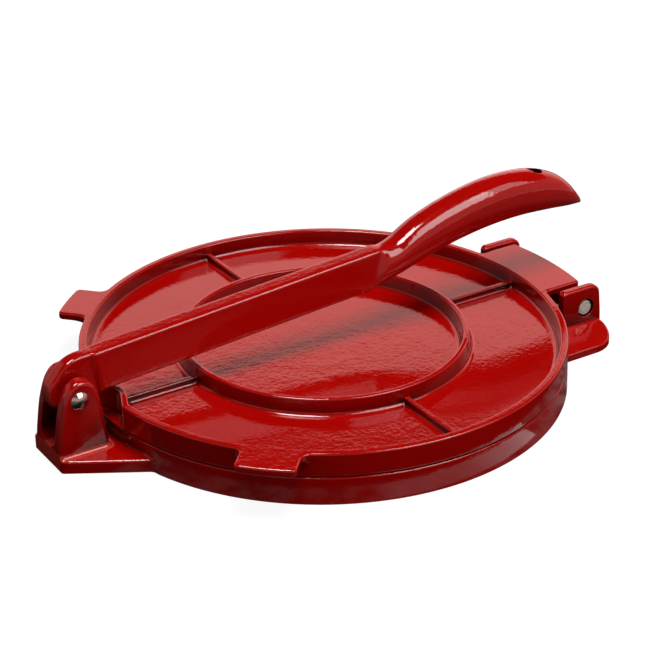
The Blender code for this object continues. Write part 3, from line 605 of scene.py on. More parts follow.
        # The card is an arc, brighter towards its rear end
        card = combine(tree, "MULTIPLY", fade(tree, far, 0.1325, 0.134),
                       fade(tree, far, 0.148, 0.149, 1.0, 0.0), fade(tree, turn, -0.4, -0.3),
                       fade(tree, turn, 0.42, 0.435, 1.0, 0.0), fade(tree, turn, -0.1, 0.45, 0.35, 1.2))
        self.paint(tree, combine(tree, "ADD", near, card, fade(tree, far, 0.17, 0.27, 0.0, 0.11)))
        return made

    def dome_paint(self) -> Paint:
        """Black dome with a pale band round its foot and a warm white sweep behind."""
        made, tree = self.painted("painted_studio_dome", "FFC4BE")
        place = node(tree, "TexCoord").outputs["Object"]
        way = vector(tree, "NORMALIZE", place)
        high = node(tree, "SeparateXYZ", {}, {0: way}).outputs["Z"]
        behind = math.radians(90.0 + self.azimuth)
        back = vector(tree, "DOT_PRODUCT", way, (math.cos(behind), math.sin(behind), 0.0))
        band = fade(tree, high, 0.49, 0.524, 0.66, 0.03)
        sweep = combine(tree, "MULTIPLY", fade(tree, high, 0.484, 0.508, 1.0, 0.0),
                        fade(tree, back, 0.45, 0.75))
        foot = combine(tree, "MULTIPLY", fade(tree, high, 0.24, 0.3, 1.2, 0.0), fade(tree, back, 0.95, 0.985))
        self.paint(tree, combine(tree, "ADD", band, sweep, foot))
        return made

    def softbox(self, name: str, aim: Pair, size: Pair, glow: float, away: float = 2.0) -> Thing:
        """Hang a soft box at an angle, as bright as a share of white.

        Args:
            name: the lamp's name.
            aim: its direction from the press in degrees, from +X towards +Y, and its height.
            size: its width and height in metres.
            glow: its brightness, where 1 is white.
            away: its distance in metres.

        Returns:
            The lamp.
        """
        a, e = (math.radians(value) for value in aim)
        place = Vector((math.cos(a) * math.cos(e), math.sin(a) * math.cos(e), math.sin(e))) * away
        bpy.ops.object.light_add(type="AREA")
        made = bpy.context.object
        made.name = name
        made.data.shape = "RECTANGLE"
        made.data.size, made.data.size_y = size
        made.data.energy = glow * math.pi * size[0] * size[1]
        look = Vector((0.0, 0.0, 0.03)) - place
        made.matrix_world = Matrix.Translation(place) @ look.to_track_quat("-Z", "Y").to_matrix().to_4x4()
        return made

    def lights(self) -> None:
        """Hang the soft boxes: the key overhead, three weak fills, and cards that only gloss sees."""
        lamps = [self.softbox("key_overhead", (20.0, 80.0), (0.9, 0.9), 11.6, away=1.9),
                 self.softbox("rear_fill", (148.0, 33.0), (2.6, 1.2), 0.6, away=2.2),
                 self.softbox("right_fill", (30.0, 12.0), (1.5, 0.5), 4.6),
                 self.softbox("front_fill", (-70.0, 8.0), (1.5, 0.5), 0.9)]
        cards = [self.softbox("right_card", (16.0, 42.0), (1.1, 1.2), 6.5),
                 self.softbox("right_tail", (44.0, 40.0), (0.7, 0.8), 2.6),
                 self.softbox("front_card", (-70.0, 72.0), (0.7, 0.7), 24.0)]
        for lamp in lamps:
            lamp.visible_glossy = False
        for card in cards:
            card.visible_diffuse = False


@dataclass
class Column:
    """One radial line of the plates' loft, with its places at the wall and on the outline."""

    u: float
    rib: int
    wall: Pair
    outer: Pair
    normal: Pair = (1.0, 0.0)
    reach: float = 0.0


@dataclass
class PlateForm:
    """What the two plates share: the round wall, the ring and the four ribs between them."""

    radius: float = 130.0
    ring_outer: float = 77.2
    ring_inner: float = 74.4
    ring_draft: float = 1.6
    ring_round: float = 1.15
    fillet: float = 2.8
    rib_half: float = 1.55
    rib_draft: float = 0.45
    rib_round: float = 0.9
    rib_fillet: float = 2.0
    rib_run: float = 6.0
    # Columns lie alongside a rib this far from its line, then turn radial over the next stretch
    straight: float = 6.5
    turning: float = 34.0
    spacing: float = 2.3

    def rib_line(self, tall: float) -> list[Pair]:
        """Half section of a rib as (offset, height), from its foot to its middle."""
        foot = self.rib_half + self.rib_draft
        return fillet_path([(foot + self.rib_run, 0, 0), (foot, 0, self.rib_fillet),
                            (self.rib_half, tall, self.rib_round), (0, tall, 0)], 5)

    def over_rib(self, u: float, tall: float, wall: float, limit: float) -> float:
        """Height at an offset from a rib's middle, with the rib and a wall run into one another.

        Args:
            u: the offset.
            tall: the rib's height.
            wall: the wall's height there.
            limit: wall height from which the rib no longer shows.

        Returns:
            The height above the floor.
        """
        if wall >= limit or abs(u) >= self.rib_half + self.rib_draft + self.rib_run:
            return wall
        line = self.rib_line(tall)
        for (a, p), (b, q) in zip(line, line[1:]):
            if b <= abs(u) <= a:
                rib = lerp(p, q, (a - abs(u)) / max(a - b, 0.001))
                return (rib ** 5 + wall ** 5) ** 0.2 if rib > 0 else wall
        return wall

    def rib_offsets(self, tall: float) -> list[float]:
        """Offsets across a rib where its section bends, and some beyond it."""
        half = sorted({round(a, 3) for a, _ in self.rib_line(tall)[1:]} | {0.0, 0.7})
        half = [value for index, value in enumerate(half) if index == 0 or value - half[index - 1] > 0.04]
        half += [half[-1] + step for step in (0.8, 2.0, 3.6, 5.6, 8.0)]
        return sorted({-value for value in half} | set(half))

    def spot(self, u: float, rib: int, r: float) -> Pair:
        """Place on a circle: parallel to the rib near it, and radial between two ribs."""
        lean = smooth((abs(u) - self.straight) / self.turning)
        edge = self.ring_inner - self.ring_draft - self.fillet
        p = u * (1 - lean * (1 - max(r, edge) / self.radius))
        if r < edge:
            p *= r / edge
        q = math.sqrt(max(r * r - p * p, 0.0))
        turn = math.radians(rib * 90 - 90)
        # p runs along the ring, q runs out along the rib
        return (q * math.cos(turn) - p * math.sin(turn), q * math.sin(turn) + p * math.cos(turn))

    def at_offset(self, u: float, rib: int) -> Column:
        """One column at an offset from a rib's line."""
        spot = self.spot(u, rib, self.radius)
        return Column(u, rib, spot, spot)

    def at_angle(self, turn: float) -> Column:
        """One column on the bare round wall."""
        rib = round((turn + 90) / 90)
        return self.at_offset(self.radius * math.sin(math.radians(turn + 90 - 90 * rib)), rib % 4)

    def plain(self, start: float, end: float) -> list[Column]:
        """Columns on the bare round wall between two angles in degrees, the last one left out."""
        count = max(2, round(math.radians(end - start) * self.radius / self.spacing))
        return [self.at_angle(lerp(start, end, index / count)) for index in range(count)]

    def offsets(self, rib: int, places: Sequence[float]) -> list[Column]:
        """Columns at given offsets from a rib's line."""
        return [self.at_offset(u, rib) for u in places]

    def angle_of(self, half: float, beyond: float = 0.0) -> float:
        """Angle in degrees at which a half width meets a circle a little beyond the round wall."""
        return math.degrees(math.asin((half + beyond) / (self.radius + beyond)))

    def set_normals(self, columns: Sequence[Column]) -> None:
        """Work out each column's outward direction on the outline and how far it stands out."""
        count = len(columns)
        for index, column in enumerate(columns):
            before, after = columns[index - 1].outer, columns[(index + 1) % count].outer
            dx, dy = after[0] - before[0], after[1] - before[1]
            size = math.hypot(dx, dy)
            column.normal = (dy / size, -dx / size)
            column.reach = math.dist(column.outer, column.wall)


def inset(column: Column, amount: float, z: float) -> Triple:
    """Point a distance inside the outline."""
    return (column.outer[0] - column.normal[0] * amount, column.outer[1] - column.normal[1] * amount, z)


def proud(column: Column, amount: float, z: float) -> Triple:
    """Point a distance out from the wall, towards the outline."""
    size = max(column.reach, 0.001)
    share = min(amount, column.reach / 2) / size
    return (*mix_point(column.wall, column.outer, share), z)


def stacked(walls: Sequence[Sequence[Triple]]) -> list[list[Triple]]:
    """Turn columns of points into rings."""
    return [list(ring) for ring in zip(*walls)]


@dataclass
class UpperPlate:
    """Lid casting: rim, ring, ribs, dent, grip tabs, hinge tongue and its knuckle."""

    form: PlateForm
    low: float = 15.3
    top: float = 28.4
    floor: float = 19.3
    rim_inner: float = 125.8
    rim_draft: float = 1.6
    rim_fillet: float = 3.0
    rim_round: float = 1.3
    edge: float = 1.25
    low_edge: float = 1.3
    rib_top: float = 23.2
    # Height above the floor from which a rib no longer shows in the wall
    rib_end: float = 7.5
    # The dent's line as (place at its middle, slope)
    dent_line: Pair = (-121.96, 0.414)
    dent_round: float = 9.0
    dent_widen: float = 3.4
    dent_ends: float = 7.0
    dent_run: float = 9.0
    dent_wall: float = 3.68
    # From this radius on the rings follow the dent, more and more over the next stretch
    dent_from: float = 104.0
    dent_fade: float = 15.0
    dent_half: float = 26.0
    tab_angle: float = 46.6
    tab_half: float = 15.2
    tab_tip: float = 145.9
    tab_flare: float = 5.0
    tab_round: float = 3.0
    tab_thick: float = 4.3
    tongue_half: float = 29.6
    tongue_flare: float = 3.0
    tongue_tip: float = 153.0
    tongue_round: float = 1.6
    tongue_thick: float = 4.4
    tongue_inner: float = 26.0
    tongue_limit: float = 24.0
    ledge_fillet: float = 1.3
    ledge_round: float = 1.2
    knuckle_round: float = 6.3
    boss_round: float = 5.3
    boss_from: float = 29.4

    def dent_bump(self, x: float, r: float) -> float:
        """How far the dent pushes the rim in at a place across it."""
        share = smooth((self.form.radius - r) / (self.form.radius - self.rim_inner))
        base, slope = self.dent_line
        base += self.dent_wall * share
        circle = lerp(self.form.radius, self.rim_inner, share)
        rounding = lerp(self.dent_round, self.dent_round + self.dent_widen, share)
        meet = next(v / 10 for v in range(80, 260) if base - slope * v / 10 <= -on_arc(circle, v / 10))
        beyond = meet + self.dent_run
        edge, chord = -on_arc(circle, meet), -on_arc(circle, beyond)
        if abs(x) >= beyond:
            return 0.0
        line = fillet_path([(-beyond, chord, 0), (-meet, edge, self.dent_ends), (0, base, rounding),
                            (meet, edge, self.dent_ends), (beyond, chord, 0)], 8)
        for (a, p), (b, q) in zip(line, line[1:]):
            if a <= x <= b:
                straight = lerp(edge, chord, (abs(x) - meet) / self.dent_run)
                bare = straight if abs(x) > meet else -on_arc(circle, x)
                return max(0.0, lerp(p, q, (x - a) / (b - a)) - bare)
        return 0.0

    def ring(self, columns: Sequence[Column], r: float, z: float) -> list[Triple]:
        """A round ring that follows the dent near the rim."""
        share = smooth((r - self.dent_from) / self.dent_fade)
        made = []
        for column in columns:
            x, y = self.form.spot(column.u, column.rib, r)
            if column.rib == 0 and share > 0 and abs(x) < self.dent_half:
                y += self.dent_bump(x, r) * share
            made.append((x, y, z))
        return made

    def lifted(self, columns: Sequence[Column], r: float, z: float) -> list[Triple]:
        """A floor ring raised by the ribs."""
        tall = self.rib_top - self.floor
        made = []
        for column, (x, y, _) in zip(columns, self.ring(columns, r, z)):
            high = self.form.over_rib(column.u, tall, z - self.floor, self.rib_end)
            made.append((x, y, self.floor + high))
        return made

    def edge_half(self, half: float, flare: float, tip: float, corner: float, inner: float) -> list[Pair]:
        """Right half of the outline of a tab or tongue, from the wall to a place on its round tip.

        Args:
            half: half of its width.
            flare: radius of its run into the round wall.
            tip: distance of its tip from the plates' axis.
            corner: radius of its corners.
            inner: place across it where the path ends.

        Returns:
            The path.
        """
        far = self.form.radius + flare
        side = half + flare
        middle = Vector((side, on_arc(far, side)))
        start = middle * (self.form.radius / far) - middle
        sweep = start.angle_signed(Vector((half - side, 0.0)))
        path = [tuple(middle + Matrix.Rotation(-sweep * step / 12, 2) @ start) for step in range(13)]
        ends = [(half, on_arc(tip, half), corner), (inner, on_arc(tip, inner), 0)]
        return path + fillet_path([path[-1] + (0,), *ends], 8)[1:]

    def tab(self, centre: float) -> list[Column]:
        """Columns round one grip tab."""
        inner = self.tab_half - 5.0
        half = self.edge_half(self.tab_half, self.tab_flare, self.tab_tip, self.tab_round, inner)
        half += [(x, on_arc(self.tab_tip, x)) for x in [inner * (1 - step / 4) for step in range(1, 5)]]
        path = half + [(-x, y) for x, y in reversed(half[:-1])]
        limit = math.degrees(math.atan2(half[0][0], half[0][1]))
        turn = math.radians(centre - 90)
        made = []
        count = 120
        for index in range(count):
            share = index / count
            column = self.form.at_angle(centre - limit + 2 * limit * share)
            x, y = along_path(path, share)
            # The path's own +Y is the tab's outward line, and it runs from its right to its left
            column.outer = (x * math.cos(turn) - y * math.sin(turn), x * math.sin(turn) + y * math.cos(turn))
            made.append(column)
        return made

    def tongue(self) -> list[Column]:
        """Columns round the hinge tongue at the rear."""
        inner_x, limit = self.tongue_inner, self.tongue_limit
        half = self.edge_half(self.tongue_half, self.tongue_flare, self.tongue_tip, self.tongue_round,
                              inner_x)
        count = 36
        places = []
        for share in [index / count for index in range(count)]:
            places.append((-lerp(half[0][0], limit, share), along_path(half, share)))
        inside = [value for value in self.form.rib_offsets(self.rib_top - self.floor) if abs(value) < limit]
        inside += [side * value for value in (14.0, 17.0, 20.0, 22.5) for side in (-1, 1)]
        for u in sorted(inside):
            x = -u * inner_x / limit
            places.append((u, (x, on_arc(self.tongue_tip, x))))
        for share in [(count - index) / count for index in range(count)]:
            x, y = along_path(half, share)
            places.append((lerp(half[0][0], limit, share), (-x, y)))
        made = self.form.offsets(2, [u for u, _ in places])
        for column, (_, spot) in zip(made, places):
            column.outer = spot
        return made

    def columns(self) -> list[Column]:
        """All columns, from the front dent round by the right side."""
        form = self.form
        ribs = form.rib_offsets(self.rib_top - self.floor)
        extra = [ribs[-1] + step * 0.9 for step in range(1, 16) if ribs[-1] + step * 0.9 < 24]
        front = sorted(set(ribs) | set(extra) | {-value for value in extra})
        limit, quiet = form.angle_of(front[-1]), form.angle_of(ribs[-1])
        tab = form.angle_of(self.tab_half, self.tab_flare)
        hinge = form.angle_of(self.tongue_half, self.tongue_flare)
        right, left = -90 + self.tab_angle, 270 - self.tab_angle
        made = form.offsets(0, front[:-1])
        made += form.plain(-90 + limit, right - tab) + self.tab(right) + form.plain(right + tab, -quiet)
        made += form.offsets(1, ribs[:-1]) + form.plain(quiet, 90 - hinge) + self.tongue()
        made += form.plain(90 + hinge, 180 - quiet) + form.offsets(3, ribs[:-1])
        made += form.plain(180 + quiet, left - tab) + self.tab(left) + form.plain(left + tab, 270 - limit)
        for column in made:
            if column.rib == 0 and column.outer == column.wall and abs(column.u) < self.dent_half:
                x, y = column.wall
                column.wall = (x, y + self.dent_bump(x, form.radius))
                column.outer = column.wall
        form.set_normals(made)
        return made

    def ledge(self, column: Column) -> list[Triple]:
        """Points up the outer wall, round the ledge of a tab or tongue and up to its top edge."""
        under = self.top - (self.tongue_thick if column.rib == 2 else self.tab_thick)
        fillet, edge = self.ledge_fillet, min(self.ledge_round, column.reach / 2)
        made = [proud(column, fillet * side, under - fillet * up) for side, up in quarter(4)]
        made += [(*mix_point(column.wall, column.outer, share), under) for share in (0.3, 0.7)]
        made += [inset(column, edge * up, under + edge * side) for side, up in quarter(4)]
        low, high = under - 2.6, self.top - self.edge - 0.6
        bare = [(*column.wall, lerp(low, high, index / (len(made) - 1))) for index in range(len(made))]
        share = smooth((column.reach - 0.15) / 1.4)
        return [mix_point(p, q, share) for p, q in zip(bare, made)]

    def build(self) -> Thing:
        """Loft the plate from the middle of its flat underside round to the middle of its floor."""
        form = self.form
        columns = self.columns()
        rings = [self.ring(columns, r, self.low) for r in (6.0, 60.0, 110.0, 126.0)]
        rings += [self.ring(columns, form.radius - self.low_edge * up, self.low + self.low_edge * side)
                  for side, up in quarter(3)]
        rings += stacked([self.ledge(column) for column in columns])
        rings += [[inset(column, self.edge * side, self.top - self.edge * up) for column in columns]
                  for side, up in quarter(6)]
        profile = fillet_path([(self.rim_inner + 2.0, self.top, 0),
                               (self.rim_inner, self.top, self.rim_round),
                               (self.rim_inner - self.rim_draft, self.floor, self.rim_fillet),
                               (112.0, self.floor, 0)], 7)
        profile += [(102.0, self.floor), (92.0, self.floor)]
        profile += fillet_path([(86.0, self.floor, 0),
                                (form.ring_outer + form.ring_draft, self.floor, form.fillet),
                                (form.ring_outer, self.top, form.ring_round),
                                (form.ring_inner, self.top, form.ring_round),
                                (form.ring_inner - form.ring_draft, self.floor, form.fillet),
                                (60.0, self.floor, 0)], 7)
        profile += [(40.0, self.floor), (8.0, self.floor)]
        for r, z in profile[1:]:
            # The ribs end at the ring
            place = self.lifted if r > form.ring_inner + 1.4 else self.ring
            rings.append(place(columns, r, z))
        made = loft("upper_plate_casting", rings)
        smooth_shade(made)
        LOG.info("upper plate: %d faces", len(made.data.polygons))
        return made

    def knuckle(self) -> Thing:
        """Knuckle under the tongue, with a boss on each side that reaches to the lug."""
        size, under = self.knuckle_round, self.top - 2.6
        side = [(133.0, under), (147.8, under)]
        side += [(HINGE[0] + size * math.cos(math.radians(t)), HINGE[1] + size * math.sin(math.radians(t)))
                 for t in range(20, -201, -10)]
        half, middle = self.tongue_half - 0.4, (143.0, 19.0)
        steps = [(0.0, 0.9), (0.3, 0.3), (0.9, 0.0)]
        places = [(-half + x, drop) for x, drop in steps] + [(half - x, drop) for x, drop in reversed(steps)]
        made = loft("hinge_knuckle", [[(x, *mix_point(spot, middle, drop / 9)) for spot in side]
                                      for x, drop in places])
        for hand in Side:
            bpy.ops.object.select_all(action="DESELECT")
            bpy.ops.mesh.primitive_cylinder_add(
                vertices=48, radius=self.boss_round * MM, depth=8.0 * MM, rotation=(0, math.pi / 2, 0),
                location=to_part((hand.value * self.boss_from, *HINGE)))
            boss = bpy.context.object
            bpy.ops.object.transform_apply(location=True, rotation=True, scale=True)
            cut(made, boss, "UNION")
        smooth_shade(made, 40)
        return made


@dataclass
class BaseCasting:
    """Lower plate with its hollow underside, foot plate, rear flange, clevis and hinge lugs."""

    form: PlateForm
    top: float = 15.0
    top_edge: float = 1.0
    hollow: float = 10.0
    rib_tall: float = 7.5
    rib_end: float = 9.0
    draft: float = 0.4
    # The wall's lowest edge as (distance back, height)
    low_edge: tuple[Pair, ...] = ((0.3, 0.0), (0.09, 0.09), (0.0, 0.3))
    ledge_round: float = 1.5
    ledge_fillet: float = 2.2
    foot_top: float = 7.0
    foot_front: float = -163.0
    foot_half: float = 15.6
    foot_meet: Pair = (38.6, -124.1)
    foot_start: Pair = (43.2, -122.6)
    # Inside these offsets the columns of a zone keep the rib's own places
    foot_spread: float = 12.0
    flange_spread: float = 40.0
    flange_half: float = 61.2
    flange_rear: float = 157.0
    flange_round: float = 18.0
    flange_edge: float = 4.6
    flange_foot: float = 8.4
    flange_turn: float = 29.6
    # The flange's corners drop from this place out, by this share of the two distances from it
    flange_corner: Pair = (44.0, 142.0)
    flange_drop: float = 0.006
    bay: float = 5.5
    lug_inner: float = 33.7
    lug_outer: float = 38.9
    lug_top: float = 28.5
    head_hole: float = 5.55
    shank_hole: float = 2.8
    clevis_half: float = 14.8
    clevis_rear: float = -134.9
    clevis_tall: float = 41.0
    clevis_draft: float = 0.9
    slot_half: float = 8.0
    skirt_fillet: float = 2.3
    skirt_sunk: float = 0.05

    def outline_foot(self) -> list[Pair]:
        """Right half of the foot plate's outline, from the wall to the middle of its front."""
        return fillet_path([(*self.foot_start, 0), (*self.foot_meet, 3.0),
                            (self.foot_half, self.foot_front, 1.8), (0, self.foot_front, 0)], 8)

    def outline_flange(self) -> list[Pair]:
        """Right half of the flange's outline, from the wall to the middle of its rear."""
        meet = on_arc(self.form.radius, self.flange_half)
        turn = math.radians(self.flange_turn)
        wall = (self.form.radius * math.sin(turn), self.form.radius * math.cos(turn))
        return fillet_path([(*wall, 0), (self.flange_half, meet + 0.6, 3.0),
                            (self.flange_half, self.flange_rear, self.flange_round),
                            (0, self.flange_rear, 0)], 10)

    def zone(self, rib: int, half: Sequence[Pair], limit: float, spread: float) -> list[Column]:
        """Columns round a projection that is centred on a rib.

        Args:
            rib: the rib's number.
            half: half of the outline, from the wall to its middle.
            limit: how far from the middle the projection leaves the wall.
            spread: inside this offset the columns keep the rib's own places.

        Returns:
            The columns, counted the way the plate runs.
        """
        hand = 1 if rib == 2 else -1
        count = 60
        straight = self.straight_from(half)
        lead = []
        for u in [lerp(limit, spread, index / count) for index in range(count)]:
            share = (u - spread) / (limit - spread)
            lead.append((u, *along_path(half, straight * (1 - share))))
        inside = [value for value in self.form.rib_offsets(self.rib_tall) if abs(value) < spread]
        inside += [side * value for value in (14.0, 18.0, 22.0, 26.0, 30.0, 34.0, 38.0)
                   for side in (-1, 1) if value < spread - 1]
        edge_x = along_path(half, straight)[0]
        places = [(-u, x, y) for u, x, y in lead]
        places += [(u, abs(u) / spread * edge_x, half[-1][1]) for u in sorted(inside)]
        places += reversed(lead)
        columns = self.form.offsets(rib, [u for u, _, _ in places])
        for column, (u, x, y) in zip(columns, places):
            column.outer = (-math.copysign(x, u) * hand, y)
        return columns[:-1]

    def straight_from(self, half: Sequence[Pair]) -> float:
        """Share of an outline's length where its straight middle part starts."""
        total = sum(math.dist(a, b) for a, b in zip(half, half[1:]))
        return 1 - math.dist(half[-2], half[-1]) * 0.999 / total

    def columns(self) -> list[Column]:
        """All columns, from the front foot round by the right side."""
        form = self.form
        ribs = form.rib_offsets(self.rib_tall)
        foot_limit = self.foot_start[0]
        flange_limit = form.radius * math.sin(math.radians(self.flange_turn))
        quiet, foot = form.angle_of(ribs[-1]), form.angle_of(foot_limit)
        made = self.zone(0, self.outline_foot(), foot_limit, self.foot_spread)
        made += form.plain(-90 + foot, -quiet) + form.offsets(1, ribs[:-1])
        made += form.plain(quiet, 90 - self.flange_turn)
        made += self.zone(2, self.outline_flange(), flange_limit, self.flange_spread)
        made += form.plain(90 + self.flange_turn, 180 - quiet) + form.offsets(3, ribs[:-1])
        made += form.plain(180 + quiet, 270 - foot)
        form.set_normals(made)
        return made

    def ledge_top(self, column: Column, x: float, y: float) -> float:
        """Height of the foot plate's or the flange's top at a place."""
        if column.rib != 2:
            return self.foot_top
        slope = (self.flange_foot - self.flange_edge) / (self.flange_half - self.lug_outer)
        out = max(0.0, abs(x) - self.lug_outer)
        corner_x, corner_y = self.flange_corner
        corner = max(0.0, abs(x) - corner_x) * max(0.0, y - corner_y) * self.flange_drop
        outside = self.flange_foot - slope * out - corner
        share = smooth((abs(x) - self.lug_inner - 1.0) / (self.lug_outer - self.lug_inner - 2.0))
        return lerp(self.bay, max(outside, self.flange_edge - 0.9), share)

    def ledge(self, column: Column) -> list[Triple]:
        """Points from the table up the outline, over its top and up the round wall."""
        made = [inset(column, back, z) for back, z in self.low_edge]
        rounding = min(self.ledge_round, column.reach / 3 + 0.01)
        edge_z = self.ledge_top(column, *column.outer)
        made += [inset(column, rounding * side, edge_z - rounding * up) for side, up in quarter(5)]
        fillet = min(self.ledge_fillet, column.reach / 3)
        start, end = made[-1], proud(column, fillet, 0.0)
        across = [mix_point(start[:2], end[:2], step / 9) for step in range(1, 9)]
        made += [(x, y, self.ledge_top(column, x, y)) for x, y in across]
        foot_z = self.ledge_top(column, *end[:2])
        made += [proud(column, fillet * up, foot_z + fillet * side) for side, up in quarter(5)]
        # As many points up the bare wall, for the columns between the projections
        last = len(made) - len(self.low_edge) - 1
        climb = [(0.0, lerp(1.2, 11.5, index / last)) for index in range(last + 1)]
        bare = []
        for back, z in (*self.low_edge, *climb):
            size = (self.form.radius + self.draft * (1 - z / self.top) - back) / self.form.radius
            bare.append((column.wall[0] * size, column.wall[1] * size, z))
        share = smooth((column.reach - 0.15) / 2.2)
        return [mix_point(p, q, share) for p, q in zip(bare, made)]

    def ring(self, columns: Sequence[Column], r: float, z: float) -> list[Triple]:
        """A round ring."""
        return [(*self.form.spot(column.u, column.rib, r), z) for column in columns]

    def under(self, columns: Sequence[Column], r: float, z: float) -> list[Triple]:
        """A ring of the hollow underside, lowered by the ribs."""
        made = []
        for column, (x, y, _) in zip(columns, self.ring(columns, r, z)):
            deep = self.form.over_rib(column.u, self.rib_tall, self.hollow - z, self.rib_end)
            made.append((x, y, self.hollow - deep))
        return made

    def disc(self) -> Thing:
        """Loft the lower plate from the middle of its underside round to the middle of its top."""
        form = self.form
        columns = self.columns()
        foot = form.ring_draft
        profile = [(8.0, self.hollow), (40.0, self.hollow)]
        profile += fillet_path([(60.0, self.hollow, 0), (form.ring_inner - foot, self.hollow, form.fillet),
                                (form.ring_inner, 1.0, 1.0), (form.ring_outer, 1.0, 1.0),
                                (form.ring_outer + foot, self.hollow, form.fillet),
                                (86.0, self.hollow, 0)], 4)
        profile += [(104.0, self.hollow)]
        profile += fillet_path([(112.0, self.hollow, 0), (121.9, self.hollow, form.fillet),
                                (123.5, 0.0, 0.8), (126.0, 0.0, 0)], 4)
        rings = []
        for r, z in profile:
            # The ribs end at the ring
            place = self.under if r > form.ring_inner + 1.4 else self.ring
            rings.append(place(columns, r, z))
        rings += stacked([self.ledge(column) for column in columns])
        rings += [self.ring(columns, form.radius - self.top_edge * side, self.top - self.top_edge * up)
                  for side, up in quarter(5)]
        rings += [self.ring(columns, r, self.top) for r in (110.0, 60.0, 8.0)]
        return loft("base_plate", rings)

    def clevis(self) -> Thing:
        """Clevis block with a round head, its lugs left by a rounded slot."""
        line = smooth_path(((-163.0, 0.6), (-163.0, 6.0), (-162.5, 13.0), (-160.6, 26.5), (-159.3, 32.2),
                            (-157.8, 37.2), (-156.0, 41.3), (-153.3, 44.8), (-150.2, 46.4), (-147.2, 46.5),
                            (-143.6, 44.9), (-140.7, 41.5), (-139.0, 37.0), (-137.8, 30.0), (-136.7, 21.0),
                            (-135.4, 12.5), (self.clevis_rear, 6.0), (-134.7, 0.6)), 4)
        made = slab("clevis", line, -self.clevis_half, self.clevis_half, 2.6)
        for vertex in made.data.vertices:
            share = (vertex.co.z / MM - self.foot_top) / self.clevis_tall
            vertex.co.x *= 1 - share * self.clevis_draft / self.clevis_half
        cut(made, slot_tool(self.slot_half, 9.7, 5.8))
        bevel(made, 0.8, 55)
        return made

    def skirt(self) -> Thing:
        """Cast fillet where the clevis stands on the foot plate."""
        size, sunk, front = self.skirt_fillet, self.skirt_sunk, -162.9
        levels = [(size - sunk, self.foot_top - 1.0)]
        levels += [(size * up - sunk, self.foot_top - sunk + size * side) for side, up in quarter(6)]
        rings = []
        for out, z in levels:
            half, rear, corner = self.clevis_half - 0.02 + out, self.clevis_rear + out, 2.6 + out
            corners = [(-half, front, 2.2), (half, front, 2.2), (half, rear, corner), (-half, rear, corner)]
            rings.append([(x, y, z) for x, y in fillet_path(corners, 6, closed=True)])
        return loft("clevis_skirt", rings)

    def lug(self, hand: Side) -> Thing:
        """One hinge lug with a sunk hole for its screw."""
        outline = fillet_path([(131.9, 2.5, 0), (131.9, self.lug_top, 2.6), (157.4, self.lug_top, 6.0),
                               (159.2, 12.0, 6.0), (159.8, 2.5, 0)], 8)
        low, high = sorted((hand.value * self.lug_inner, hand.value * self.lug_outer))
        made = slab(f"hinge_lug_{hand.name.lower()}", outline, low, high, 1.5)
        face = hand.value * self.lug_outer
        cut(made, pin_tool(self.head_hole, face - hand.value * 3.0, face + hand.value * 3.0, HINGE))
        cut(made, pin_tool(self.shank_hole, face - hand.value * 9.0, face, HINGE))
        bevel(made, 0.35, 60)
        return made

    def build(self) -> Thing:
        """Make the whole casting."""
        shells = [self.disc(), self.clevis(), self.skirt()] + [self.lug(hand) for hand in Side]
        for shell in shells:
            smooth_shade(shell)
        made = join("base_casting_form", shells)
        LOG.info("base casting: %d faces", len(made.data.polygons))
        return made


def slab(name: str, outline: Sequence[Pair], low: float, high: float, edge: float) -> Thing:
    """Loft a side outline in Y and Z between two places along X, with its two rims rounded.

    Args:
        name: the piece's name.
        outline: closed outline as (y, z).
        low: lower place along X.
        high: upper place along X.
        edge: radius of the rims.

    Returns:
        The closed slab.
    """
    rings = []
    for hand, place in ((-1, low), (1, high)):
        group = [[(place - hand * edge * up, y, z) for y, z in inset_path(outline, edge * side)]
                 for side, up in quarter(5)]
        rings += group[::-1] if hand < 0 else group
    return loft(name, rings)


def slot_tool(half: float, floor: float, rounding: float) -> Thing:
    """Rounded tool that cuts the clevis slot along Y."""
    outline = fillet_path([(half, floor, rounding), (half, 60.0, 0), (-half, 60.0, 0),
                           (-half, floor, rounding)], 8, closed=True)
    return loft("clevis_slot", [[(x, y, z) for x, z in outline] for y in (-175.0, -128.0)])


def around(centre: Pair, radius: float, count: int) -> list[Pair]:
    """Points evenly round a circle."""
    turns = [2 * math.pi * step / count for step in range(count)]
    return [(centre[0] + radius * math.cos(turn), centre[1] + radius * math.sin(turn)) for turn in turns]


def pin_tool(radius: float, start: float, end: float, place: Pair) -> Thing:
    """Round tool along X at a place in Y and Z."""
    circle = around(place, radius, 48)
    return loft("bore", [[(x, y, z) for y, z in circle] for x in (start, end)])


